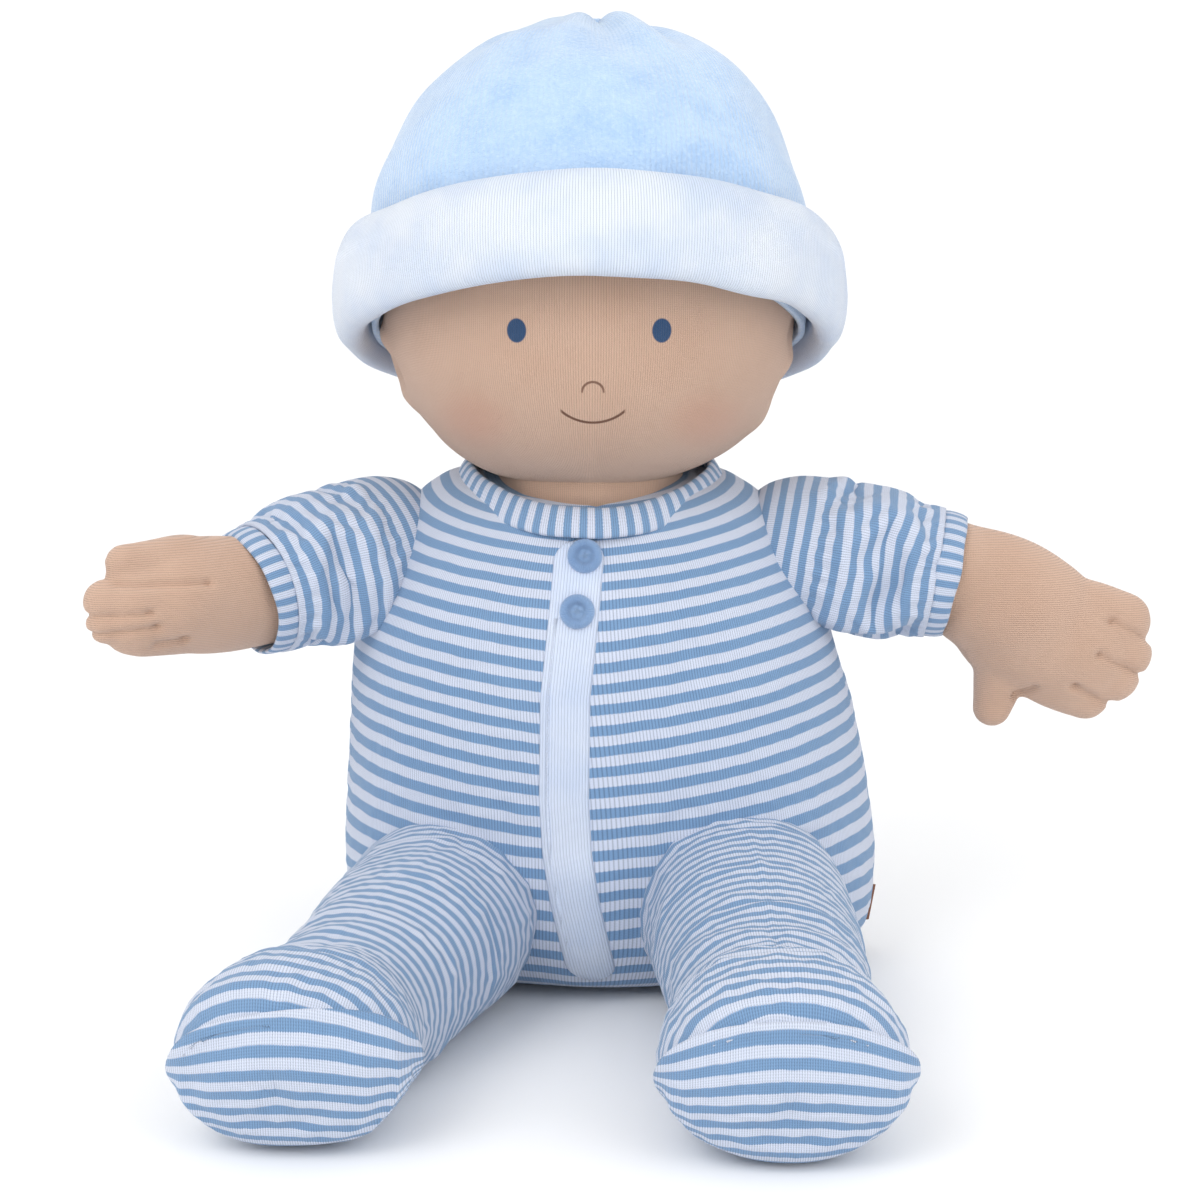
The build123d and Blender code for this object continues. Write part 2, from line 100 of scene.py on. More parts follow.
class Tree:
    """A material's node tree with short ways to add maths."""

    def __init__(self, name):
        self.material = bpy.data.materials.new(name)
        self.material.use_nodes = True
        self.nodes = self.material.node_tree.nodes
        self.links = self.material.node_tree.links
        self.shader = self.nodes["Principled BSDF"]

    def put(self, socket, value):
        if isinstance(value, bpy.types.NodeSocket):
            self.links.new(value, socket)
        else:
            socket.default_value = value

    def node(self, kind, **settings):
        made = self.nodes.new(kind)
        for key, value in settings.items():
            setattr(made, key, value)
        return made

    def maths(self, operation, a, b=0.0, c=0.0):
        made = self.node("ShaderNodeMath", operation=operation)
        for socket, value in zip(made.inputs, (a, b, c)):
            self.put(socket, value)
        return made.outputs[0]

    def step(self, value, start, end, start_to=0.0, end_to=1.0):
        """A smooth step from start to end."""
        made = self.node("ShaderNodeMapRange", interpolation_type="SMOOTHSTEP")
        for index, number in enumerate((value, start, end, start_to, end_to)):
            self.put(made.inputs[index], number)
        return made.outputs[0]

    def mix(self, share, a, b, kind="MIX"):
        made = self.node("ShaderNodeMix", data_type="RGBA", blend_type=kind)
        self.put(made.inputs[0], share)
        self.put(made.inputs[6], a)
        self.put(made.inputs[7], b)
        return made.outputs[2]

    def place(self):
        """The point in millimetres, in the row frame at rest."""
        source = self.node("ShaderNodeTexCoord").outputs["Object"]
        made = self.node("ShaderNodeVectorMath", operation="SCALE")
        self.links.new(source, made.inputs[0])
        made.inputs["Scale"].default_value = 1000.0
        return made.outputs[0]

    def split(self, vector):
        made = self.node("ShaderNodeSeparateXYZ")
        self.links.new(vector, made.inputs[0])
        return made.outputs

    def weave(self):
        """Distances across and along the cloth, in millimetres."""
        made = self.node("ShaderNodeUVMap", uv_map="weave")
        split = self.split(made.outputs[0])
        return split[0], split[1]

    def noise(self, size, detail=2.0, vector=None):
        """Noise from 0 to 1 whose lumps are about size millimetres across."""
        made = self.node("ShaderNodeTexNoise")
        self.links.new(vector or self.place(), made.inputs["Vector"])
        made.inputs["Scale"].default_value = 1.0 / size
        made.inputs["Detail"].default_value = detail
        return made.outputs[0]

    def knit(self, u, v, wale=WALE, course=COURSE):
        """Height of plain knitting from 0 to 1: columns of small V-shaped stitches."""
        column = self.maths("ABSOLUTE", self.maths("SINE", self.maths("MULTIPLY", u, math.pi / wale)))
        slant = self.maths("PINGPONG", self.maths("DIVIDE", u, wale), 0.5)
        row = self.maths("ADD", self.maths("DIVIDE", v, course), self.maths("MULTIPLY", slant, 1.4))
        loop = self.maths("SINE", self.maths("MULTIPLY", row, TURN))
        body = self.maths("POWER", column, 0.6)
        return self.maths("MULTIPLY", body, self.maths("MULTIPLY_ADD", loop, 0.22, 0.78))

    def grey(self, value):
        """One number as a colour."""
        made = self.node("ShaderNodeCombineXYZ")
        for socket in made.inputs:
            self.put(socket, value)
        return made.outputs[0]

    def relief(self, height, depth, strength=0.8):
        made = self.node("ShaderNodeBump")
        made.inputs["Strength"].default_value = strength
        made.inputs["Distance"].default_value = depth * MM
        self.links.new(height, made.inputs["Height"])
        self.links.new(made.outputs[0], self.shader.inputs["Normal"])

    def cloth(self, colour, sheen=0.25, roughness=0.9):
        self.put(self.shader.inputs["Base Color"], colour)
        self.shader.inputs["Roughness"].default_value = roughness
        self.shader.inputs["Specular IOR Level"].default_value = 0.25
        self.shader.inputs["Sheen Weight"].default_value = sheen
        self.shader.inputs["Sheen Roughness"].default_value = 0.5
        return self.material


def striped(name, period, along=True, wander=0.35):
    """Jersey with blue and white stripes, across the piece or along it, with painted shade between the
    stitches.
    """
    t = Tree(name)
    u, v = t.weave()
    position, other = (v, u) if along else (u, v)
    drift = t.maths("MULTIPLY", t.maths("SUBTRACT", t.noise(9.0), 0.5), wander * 2)
    tooth = t.maths("MULTIPLY", t.maths("PINGPONG", t.maths("DIVIDE", other, WALE), 0.5), 0.35)
    shifted = t.maths("ADD", t.maths("ADD", position, drift), tooth)
    wave = t.maths("SINE", t.maths("MULTIPLY", shifted, TURN / period))
    share = t.step(wave, -0.22, 0.22)
    height = t.knit(u, v)
    tint = t.mix(t.noise(30.0, 3.0), BLUE, DEEP_BLUE)
    colour = t.mix(share, t.mix(0.35, BLUE, tint), STRIPE_WHITE)
    # painted shade: the colour is darkened to 0.6 in the knit's low places between the stitches, where shade
    # falls
    gaps = t.grey(t.step(height, 0.1, 0.75, 0.6, 1.0))
    t.relief(height, 0.22)
    return t.cloth(t.mix(1.0, colour, gaps, "MULTIPLY"))


def knitted(name, colour, deeper, wale=WALE, depth=0.2, sheen=0.25, gap=0.8):
    """One-colour knitted cloth, with painted shade between the stitches: gap is how much of the colour the
    deepest gaps keep.
    """
    t = Tree(name)
    u, v = t.weave()
    height = t.knit(u, v, wale)
    tint = t.mix(t.step(t.noise(22.0, 3.0), 0.3, 0.75), colour, deeper)
    # painted shade: the colour is darkened to gap in the knit's low places between the stitches, where shade
    # falls
    gaps = t.grey(t.step(height, 0.05, 0.7, gap, 1.0))
    t.relief(height, depth)
    return t.cloth(t.mix(1.0, tint, gaps, "MULTIPLY"), sheen), t


def face_cloth():
    """Skin-tone knitting with printed eyes, nose, smile and blushing cheeks."""
    material, t = knitted("skin_knit_face", SKIN, SKIN_SHADE, SKIN_WALE, 0.3, gap=0.7)
    x, y, z = t.split(t.place())
    front = t.step(y, -20.0, -28.0)

    def mask(value):
        return t.maths("MULTIPLY", value, front)

    def reach(dx, dz):
        return t.maths("SQRT", t.maths("ADD", t.maths("MULTIPLY", dx, dx), t.maths("MULTIPLY", dz, dz)))

    def oval(cx, cz, rx, rz, soft):
        dx = t.maths("DIVIDE", t.maths("SUBTRACT", x, cx), rx)
        dz = t.maths("DIVIDE", t.maths("SUBTRACT", z, cz), rz)
        return mask(t.step(reach(dx, dz), 1.0 + soft, 1.0 - soft))

    def arc(cx, cz, radius, half_width, thick, below):
        """A line along part of a circle, the part below or above its centre."""
        dx = t.maths("SUBTRACT", x, cx)
        dz = t.maths("SUBTRACT", z, cz)
        off = t.maths("ABSOLUTE", t.maths("SUBTRACT", reach(dx, dz), radius))
        line = t.step(off, thick * 1.4, thick * 0.5)
        inside = t.step(t.maths("ABSOLUTE", dx), half_width + 0.4, half_width - 0.4)
        half = t.step(dz, 0.3, -0.3) if below else t.step(dz, -0.3, 0.3)
        return mask(t.maths("MULTIPLY", line, t.maths("MULTIPLY", inside, half)))

    colour = t.shader.inputs["Base Color"].links[0].from_socket
    blush = srgb(196, 148, 126)
    for side in (-1, 1):
        colour = t.mix(t.maths("MULTIPLY", oval(side * 33.5, 175.0, 9.0, 7.0, 0.75), 0.55), colour, blush)
    for side in (-1, 1):
        colour = t.mix(oval(side * 20.2, 202.0, 2.7, 3.4, 0.08), colour, EYE_BLUE)
    colour = t.mix(t.maths("MULTIPLY", arc(1.0, 184.6, 3.1, 3.3, 0.36, False), 0.85), colour, LINE_BROWN)
    colour = t.mix(arc(1.0, 189.2, 13.4, 9.0, 0.38, True), colour, LINE_BROWN)
    t.put(t.shader.inputs["Base Color"], colour)
    return material


def velour():
    """Short-pile velour: soft patches where the pile lies differently, faint ribs and fine tufts."""
    t = Tree("hat_velour")
    u, _ = t.weave()
    patches = t.noise(11.0, 5.0)
    fine = t.noise(1.2, 3.0)
    colour = t.mix(t.maths("MULTIPLY", t.step(patches, 0.35, 0.7), 0.6), VELOUR, VELOUR_DEEP)
    colour = t.mix(t.maths("MULTIPLY", t.step(fine, 0.4, 0.8), 0.4), colour, srgb(202, 222, 244))
    rib = t.maths("SINE", t.maths("MULTIPLY", u, TURN / 1.5))
    height = t.maths("ADD", t.maths("MULTIPLY", rib, 0.3), t.maths("ADD", fine, t.noise(0.45, 2.0)))
    t.relief(height, 0.5, 0.7)
    return t.cloth(colour, 0.8, 0.95)


def plain(name, colour, roughness=0.5, metallic=0.0, coat=0.0, texture=0.0, depth=0.03):
    """A moulded, metal or woven surface with a little unevenness."""
    t = Tree(name)
    share = t.maths("MULTIPLY", t.noise(3.0, 4.0), 0.25)
    t.put(t.shader.inputs["Base Color"], t.mix(share, colour, between(colour, (0, 0, 0, 1), 0.3)))
    t.shader.inputs["Roughness"].default_value = roughness
    t.shader.inputs["Metallic"].default_value = metallic
    t.shader.inputs["Coat Weight"].default_value = coat
    t.relief(t.noise(texture or 0.4, 3.0), depth, 0.5)
    return t.material


MATERIALS = {
    "jersey": striped("striped_jersey", STRIPE),
    "sleeve": striped("striped_jersey_sleeve", 4.6),
    "leg": striped("striped_jersey_leg", 4.0),
    "toe": striped("striped_jersey_toe", 4.2),
    "trim": striped("ribbed_trim", TRIM_STRIPE, along=False, wander=0.15),
    "placket": knitted("white_rib", srgb(224, 233, 250), srgb(210, 223, 246), 0.9, 0.35, gap=0.72)[0],
    "thread": knitted("blue_thread", srgb(150, 180, 216), srgb(128, 160, 202), 0.4, 0.1, 0.4)[0],
    "label": plain("label_tape", srgb(126, 84, 64), 0.8, texture=0.3, depth=0.08),
    "fastener": plain("fastener_tape", srgb(232, 236, 244), 0.8, texture=0.35, depth=0.15),
    "face": face_cloth(),
    "skin": knitted("skin_knit", SKIN, SKIN_SHADE, SKIN_WALE, 0.3, gap=0.7)[0],
    "velour": velour(),
    "brim": knitted("white_interlock", BRIM_WHITE, srgb(212, 225, 246), BRIM_WALE, 0.4, gap=0.7)[0],
    "pouch": plain("pouch_cloth", srgb(226, 226, 232), 0.9, texture=0.4, depth=0.15),
    "case": plain("case_plastic", srgb(226, 225, 221), 0.42, texture=0.25, depth=0.02),
    "button": plain("button_plastic", srgb(206, 44, 36), 0.28, coat=0.3, texture=0.3, depth=0.01),
    "screw": plain("screw_steel", srgb(176, 178, 182), 0.32, 1.0),
    "cell": plain("cell_steel", srgb(200, 202, 206), 0.22, 1.0),
    "contact": plain("contact_metal", srgb(206, 202, 190), 0.3, 1.0),
    "board": plain("board_green", srgb(34, 110, 62), 0.4, coat=0.4),
    "chip": plain("chip_black", srgb(28, 28, 30), 0.45),
    "cone": plain("cone_paper", srgb(44, 44, 46), 0.85, texture=0.5, depth=0.1),
    "magnet": plain("magnet_steel", srgb(140, 142, 146), 0.4, 1.0),
    "lead": plain("lead_red", srgb(190, 40, 34), 0.45),
}


# ---------------------------------------------------------------- shapes
def unit(v):
    v = np.asarray(v, float)
    return v / np.linalg.norm(v)


def smooth_rows(stations, count):
    """Catmull-Rom rows through the stations, evenly spaced along their centres."""
    p = np.array(stations, float)
    gaps = np.linalg.norm(np.diff(p[:, :3], axis=0), axis=1) + 0.35 * np.abs(np.diff(p[:, 3]))
    t = np.concatenate([[0], np.cumsum(np.maximum(gaps, 0.5))])
    slopes = np.gradient(p, t, axis=0)
    s = np.linspace(0, t[-1], count)
    i = np.clip(np.searchsorted(t, s, side="right") - 1, 0, len(t) - 2)
    h = (t[i + 1] - t[i])[:, None]
    f = ((s - t[i]) / (t[i + 1] - t[i]))[:, None]
    a = (2 * f**3 - 3 * f**2 + 1) * p[i] + (f**3 - 2 * f**2 + f) * h * slopes[i]
    return a + (3 * f**2 - 2 * f**3) * p[i + 1] + (f**3 - f**2) * h * slopes[i + 1]


def loft_points(stations, up, rows, columns, exponent=2.0, heading=None):
    """Points of a tube through stations (x, y, z, half width, upper depth, lower depth)."""
    p = smooth_rows(stations, rows)
    centres = p[:, :3]
    tangents = np.gradient(centres, axis=0)
    tangents /= np.linalg.norm(tangents, axis=1)[:, None]
    if heading is not None:
        tangents = np.tile(np.array(heading, float), (rows, 1))
    side = np.cross(tangents, np.array(up, float))
    side /= np.linalg.norm(side, axis=1)[:, None]
    top = np.cross(side, tangents)
    angle = -math.pi / 2 + np.linspace(0, TURN, columns, endpoint=False)
    power = 2.0 / exponent
    c, s = np.cos(angle), np.sin(angle)
    c = np.sign(c) * np.abs(c) ** power
    s = np.sign(s) * np.abs(s) ** power
    wide, above, below = np.maximum(p[:, 3:6], THINNEST).T[..., None]
    width, depth = wide * c, np.where(s > 0, above, below) * s
    points = centres[:, None] + width[..., None] * side[:, None] + depth[..., None] * top[:, None]
    girth = TURN * np.percentile(p[:, 3:].mean(axis=1), 70)
    return points, girth


def cloth_mesh(name, verts, faces, uvs, material):
    """A mesh from points in millimetres, with the cloth's place at each face corner."""
    mesh = bpy.data.meshes.new(name)
    mesh.from_pydata([tuple(p * MM) for p in verts], [], faces)
    mesh.uv_layers.new(name="weave").data.foreach_set("uv", np.array(uvs, np.float32).ravel())
    return finish_mesh(name, mesh, material)


def closed_mesh(name, rings, along, across, material, corners):
    """A mesh from a closed loop of rings; along and across give the cloth's places."""
    count, around = rings.shape[:2]
    faces, uvs = [], []
    for j in range(count):
        for k in range(around):
            faces.append([(j + p) % count * around + (k + q) % around for p, q in corners])
            uvs += [(along[j + p], across[k + q]) for p, q in corners]
    return cloth_mesh(name, rings.reshape(-1, 3), faces, uvs, material)


def grid_mesh(name, points, girth, material, caps=(True, True)):
    """A mesh from rings of points, with a UV map in millimetres across and along the cloth."""
    rows, columns = points.shape[:2]
    verts = list(points.reshape(-1, 3))
    steps = np.linalg.norm(np.diff(points, axis=0), axis=2).mean(axis=1)
    along = np.concatenate([[0], np.cumsum(steps)])
    girth = round(girth / WALE) * WALE
    faces, uvs = [], []
    for i in range(rows - 1):
        for j in range(columns):
            k = (j + 1) % columns
            here, above = i * columns, (i + 1) * columns
            faces.append((here + j, here + k, above + k, above + j))
            a, b = girth * j / columns, girth * (j + 1) / columns
            uvs += [(a, along[i]), (b, along[i]), (b, along[i + 1]), (a, along[i + 1])]
    for end, row, order in ((0, 0, -1), (1, rows - 1, 1)):
        if not caps[end]:
            continue
        verts.append(points[row].mean(axis=0))
        for j in range(columns):
            k = (j + 1) % columns
            corner = (row * columns + j, row * columns + k, len(verts) - 1)
            a, b = girth * j / columns, girth * (j + 1) / columns
            place = [(a, along[row]), (b, along[row]), ((a + b) / 2, along[row])]
            faces.append(corner[::order])
            uvs += place[::order]
    return cloth_mesh(name, verts, faces, uvs, material)


def finish_mesh(name, mesh, material):
    mesh.polygons.foreach_set("use_smooth", [True] * len(mesh.polygons))
    mesh.materials.append(MATERIALS[material])
    made = bpy.data.objects.new(name, mesh)
    bpy.context.scene.collection.objects.link(made)
    mesh.update()
    return made


def coords(obj):
    co = np.empty(len(obj.data.vertices) * 3)
    obj.data.vertices.foreach_get("co", co)
    return co.reshape(-1, 3) / MM


def set_coords(obj, co):
    obj.data.vertices.foreach_set("co", (co * MM).ravel())
    obj.data.update()


def normals(obj):
    obj.data.update()
    n = np.empty(len(obj.data.vertices) * 3)
    obj.data.vertices.foreach_get("normal", n)
    return n.reshape(-1, 3)


def along_segment(co, a, b):
    """Each point's distance from the segment a-b, in millimetres."""
    a, b = np.array(a, float), np.array(b, float)
    d = b - a
    t = np.clip(((co - a) @ d) / max(d @ d, 1e-9), 0, 1)
    return np.linalg.norm(co - (a + t[:, None] * d), axis=1)


def fold(obj, marks):
    """Raise or press the cloth along lines: each mark is (points, half width, height)."""
    co, n = coords(obj), normals(obj)
    shift = np.zeros(len(co))
    for points, wide, height in marks:
        far = np.min([along_segment(co, a, b) for a, b in zip(points, points[1:])], axis=0)
        shift += height * np.exp(-((far / wide) ** 2))
    set_coords(obj, co + n * shift[:, None])


def lumpy(obj, size, height, seed):
    """Soft unevenness, as from stuffing."""
    rng = np.random.default_rng(seed)
    co, n = coords(obj), normals(obj)
    shift = np.zeros(len(co))
    for _ in range(9):
        reach = co @ unit(rng.normal(size=3)) * TURN
        shift += np.sin(reach / (size * rng.uniform(0.7, 1.5)) + rng.uniform(0, 6.3))
    set_coords(obj, co + n * (shift * height / 3.0)[:, None])


def subdivide(obj, levels=1):
    """Smooths the mesh itself, so that what follows sees its real surface."""
    modifier = obj.modifiers.new("smooth", "SUBSURF")
    modifier.levels = modifier.render_levels = levels
    apply_all(obj)


def apply_all(obj):
    graph = bpy.context.evaluated_depsgraph_get()
    graph.update()
    mesh = bpy.data.meshes.new_from_object(
        obj.evaluated_get(graph), preserve_all_data_layers=True, depsgraph=graph
    )
    obj.modifiers.clear()
    obj.data = mesh


def thicken(obj, thick):
    """Cloth with two sides: the inner one lies thick millimetres inside."""
    modifier = obj.modifiers.new("cloth", "SOLIDIFY")
    modifier.thickness = thick * MM
    modifier.offset = -1.0
    apply_all(obj)


def settle(obj, hold, slack, frames, stiffness=8.0):
    """Lets the cloth find its own wrinkles round the stuffing: hold gives 0 to 1 for each point."""
    group = obj.vertex_groups.new(name="hold")
    for index, weight in enumerate(hold):
        group.add([index], float(weight), "REPLACE")
    modifier = obj.modifiers.new("Cloth", "CLOTH")
    cloth = modifier.settings
    cloth.quality = 6
    cloth.mass = 0.0004
    cloth.tension_stiffness = cloth.compression_stiffness = stiffness
    cloth.shear_stiffness = stiffness / 2
    cloth.bending_stiffness = 0.02
    cloth.shrink_min = -slack
    cloth.vertex_group_mass = "hold"
    cloth.pin_stiffness = 1.0
    cloth.effector_weights.gravity = 0.0
    modifier.collision_settings.use_collision = False
    modifier.point_cache.frame_start = 1
    modifier.point_cache.frame_end = frames
    scene = bpy.context.scene
    for number in range(1, frames + 1):
        scene.frame_set(number)
    graph = bpy.context.evaluated_depsgraph_get()
    moved = obj.evaluated_get(graph).to_mesh()
    co = np.empty(len(moved.vertices) * 3)
    moved.vertices.foreach_get("co", co)
    obj.evaluated_get(graph).to_mesh_clear()
    obj.modifiers.clear()
    obj.vertex_groups.clear()
    scene.frame_set(1)
    set_coords(obj, co.reshape(-1, 3) / MM)


def surface(obj):
    """What rays are cast on, in millimetres."""
    mesh = obj.data
    return BVHTree.FromPolygons([v.co / MM for v in mesh.vertices], [p.vertices for p in mesh.polygons])


def merged(name, objs, material):
    """One mesh from several, which are removed."""
    verts, faces = [], []
    for o in objs:
        base = len(verts)
        verts += [v.co.copy() for v in o.data.vertices]
        faces += [tuple(i + base for i in p.vertices) for p in o.data.polygons]
        bpy.data.objects.remove(o)
    mesh = bpy.data.meshes.new(name)
    mesh.from_pydata(verts, [], faces)
    return finish_mesh(name, mesh, material)


def joined(name, objs, material, size, smooth):
    """One skin over several overlapping shapes."""
    made = merged(name, objs, material)
    modifier = made.modifiers.new("skin", "REMESH")
    modifier.mode = "VOXEL"
    modifier.voxel_size = size * MM
    modifier.use_smooth_shade = True
    second = made.modifiers.new("even", "SMOOTH")
    second.factor = 0.5
    second.iterations = smooth
    apply_all(made)
    made.data.materials.clear()
    made.data.materials.append(MATERIALS[material])
    made.data.polygons.foreach_set("use_smooth", [True] * len(made.data.polygons))
    return made


def corner_index(mesh):
    """The vertex at each face corner."""
    index = np.empty(len(mesh.loops), np.int32)
    mesh.loops.foreach_get("vertex_index", index)
    return index


def set_weave(mesh, values):
    layer = mesh.uv_layers.get("weave") or mesh.uv_layers.new(name="weave")
    layer.data.foreach_set("uv", values.astype(np.float32).ravel())


def face_outwards(mesh, weld=False):
    """Turns every face outwards, after welding the points that fall together if asked."""
    work = bmesh.new()
    work.from_mesh(mesh)
    if weld:
        bmesh.ops.remove_doubles(work, verts=work.verts, dist=1e-6)
    bmesh.ops.recalc_face_normals(work, faces=work.faces)
    work.to_mesh(mesh)
    work.free()


def wrap_weave(obj, origin, axis, up, radius):
    """A weave map for a rounded piece: round an axis, and along it."""
    axis = unit(axis)
    side = unit(np.cross(axis, up))
    top = np.cross(side, axis)
    co = coords(obj) - np.array(origin, float)
    values = np.stack([np.arctan2(co @ top, co @ side), co @ axis], axis=1)[corner_index(obj.data)]
    for face in obj.data.polygons:
        span = values[face.loop_start : face.loop_start + face.loop_total, 0]
        if span.max() - span.min() > math.pi:
            span[span < 0] += TURN
    values[:, 0] *= radius
    set_weave(obj.data, values)


def flat_weave(obj, origin, level):
    """A weave map for a flat mitt: height, and distance along the arm."""
    co = coords(obj) - np.array(origin, float)
    set_weave(obj.data, np.stack([co[:, 2], co @ level], axis=1)[corner_index(obj.data)])


def capsule(a, b, ra, rb, flat=1.0, normal=(0, 1, 0)):
    """A round-ended rod from a to b, thinner along normal."""
    a, b = np.array(a, float), np.array(b, float)
    d = unit(b - a)
    stations = []
    for end, radius, angles in ((a, ra, (-80, -55, -30, 0)), (b, rb, (0, 30, 55, 80))):
        for angle in angles:
            s, c = math.sin(math.radians(angle)), math.cos(math.radians(angle))
            thin = radius * c * flat
            stations.append((*(end + d * radius * s), radius * c, thin, thin))
    points, girth = loft_points(stations, normal, 26, 28)
    return grid_mesh("rod", points, girth, "skin")


def stitch_line(name, points, body, material, length, gap, radius):
    """Short raised stitches along a line of points."""
    points = np.array(points, float)
    step = np.linalg.norm(np.diff(points, axis=0), axis=1)
    t = np.concatenate([[0], np.cumsum(step)])
    pieces = []
    place = gap
    while place + length < t[-1]:
        start, end = ([np.interp(s, t, axis) for axis in points.T] for s in (place, place + length))
        pieces.append(capsule(start, end, radius, radius, normal=(0.1, 0.2, 1)))
        place += length + gap
    made = merged(name, pieces, material)
    wrap_weave(made, points[0], UP, (0, 1, 0), 3.0)
    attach(made, body)
    return made


# ---------------------------------------------------------------- torso
TORSO = [
    (3, 4, 0.0, 40, 18, 22),
    (4, 4, 0.6, 58, 28, 32),
    (5, 2, 4, 71, 36, 40),
    (6, 1, 14, 79, 43, 44),
    (6.5, 0, 34, 81.5, 46, 46),
    (5.5, 0, 58, 80, 46, 45),
    (3.5, 0, 80, 77.5, 45, 44),
    (1.5, 0, 100, 74, 43.5, 42),
    (0.5, 0, 118, 69.5, 41, 40),
    (0.5, 1, 132, 63, 38, 37),
    (0.5, 1, 143, 55, 35, 35),
    (0, 1, 150, 47, 32, 33),
    (0, 1, 154, 38, 28, 30),
    (0, 1, 154.5, 31, 24, 26),
]


def tilt_stripes(body):
    """The cloth is pulled up at the shoulders, so its stripes rise towards both sides."""
    co = coords(body)
    uv = np.empty((len(body.data.loops), 2), np.float32)
    body.data.uv_layers["weave"].data.foreach_get("uv", uv.ravel())
    x, _, z = co[corner_index(body.data)].T
    rise = 13.0 * (np.abs(x + 3) / 75) ** 1.35 * (0.45 + 0.55 * np.clip((z - 10) / 70, 0, 1))
    uv[:, 1] -= rise
    set_weave(body.data, uv)


def build_torso():
    points, girth = loft_points(TORSO, FORWARD, 96, 150, exponent=2.3, heading=UP)
    z = points[..., 2]
    lean = np.clip((z - 118) / 36, 0, 1) ** 1.5
    shoulders = np.clip(np.abs(points[..., 0]) / 60, 0, 1) ** 2
    z += lean * 0.17 * np.minimum(points[..., 1], 0) + shoulders * lean * 3.0
    body = grid_mesh("romper_body", points, girth, "jersey")
    tilt_stripes(body)
    co = coords(body)
    x, y, height = co.T
    strip = np.exp(-(((x + 3) / 11.0) ** 2)) * (y < 0)
    ends = np.clip((height - 130) / 8, 0, 1) + np.clip((16 - height) / 8, 0, 1)
    arms = np.clip(1.5 - np.hypot(np.abs(x) - 66, (height - 130) * 0.9) / 24, 0, 1)
    settle(body, np.clip(0.3 + strip + ends + arms, 0, 1), 0.022, 14)
    lumpy(body, 46, 0.5, 3)
    fold(
        body,
        [
            ([(62, -30, 146), (60, -36, 126), (50, -40, 112)], 4.0, 1.4),
            ([(52, -34, 138), (50, -40, 122), (44, -43, 104)], 4.0, -1.6),
            ([(-58, -28, 146), (-58, -36, 128), (-52, -40, 114)], 4.5, 1.3),
            ([(-50, -32, 144), (-46, -40, 124), (-40, -43, 108)], 4.5, -1.3),
            ([(38, -42, 96), (60, -38, 92)], 5.0, -0.9),
            ([(-30, -45, 30), (-46, -44, 48), (-66, -36, 56)], 5.0, -1.2),
            ([(30, -45, 34), (50, -44, 52), (72, -34, 56)], 5.0, -1.2),
            ([(-12, -48, 132), (-12, -48, 20)], 2.0, 0.6),
            ([(10, -48, 132), (10, -48, 20)], 2.5, 0.5),
            ([(-3, -46, 4), (-2, -46, 40)], 8.0, -2.0),
        ],
    )
    subdivide(body)
    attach(body, "torso")
    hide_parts("romper_front", "romper_back", "body_skin_front", "body_skin_back", "body_filling")
    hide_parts("seat_pellet_bag")
    return body


def build_neckband():
    """A flattened ring round the neck hole, lower at the front and a little lower at the back."""
    count, around = 150, 20
    rings = []
    for j in range(count):
        a = TURN * j / count
        x, y = 38.5 * math.cos(a), 1.0 - 35.0 * math.sin(a)
        centre = np.array([x, y, 148.5 + 6.0 * math.cos(a) ** 2 - 4.5 * max(math.sin(a), 0.0)])
        out = unit((math.cos(a), -math.sin(a), 0.15))
        rise = unit((-0.62 * math.cos(a), 0.62 * math.sin(a), 1.0))
        face = np.cross(np.cross(rise, out), rise)
        ring = []
        for k in range(around):
            b = TURN * k / around
            c, s = math.cos(b), math.sin(b)
            wide = 4.9 * np.sign(s) * abs(s) ** 0.7
            ring.append(centre + rise * wide + unit(face) * 1.5 * np.sign(c) * abs(c) ** 0.8)
        rings.append(ring)
    rings = np.array(rings)
    centres = np.concatenate([rings, rings[:1]]).mean(axis=1)
    path = np.concatenate([[0], np.cumsum(np.linalg.norm(np.diff(centres, axis=0), axis=1))])
    path *= round(path[-1] / TRIM_STRIPE) * TRIM_STRIPE / path[-1]
    corners = ((0, 0), (1, 0), (1, 1), (0, 1))
    band = closed_mesh("neckband_cloth", rings, path, range(around + 1), "trim", corners)
    lumpy(band, 14, 0.25, 8)
    subdivide(band)
    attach(band, "torso")
    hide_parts("neckband")


def on_torso(tree, x, z, back=False):
    """The surface's point at a place seen from the front or back, and its outward normal."""
    out = 1 if back else -1
    hit, normal, _, _ = tree.ray_cast(Vector((x, OUTSIDE * out, z)), Vector((0, -out, 0)))
    normal = np.array(normal)
    return np.array(hit), normal * (out if normal[1] > 0 else -out)


RIBBON_END = 6.0  # length over which a strip's end is rounded
RIBBON_SUNK = 0.8  # how far a strip's underside lies in the cloth
RIBBON_PROUD = 0.15  # how far a strip's edge stands off the cloth


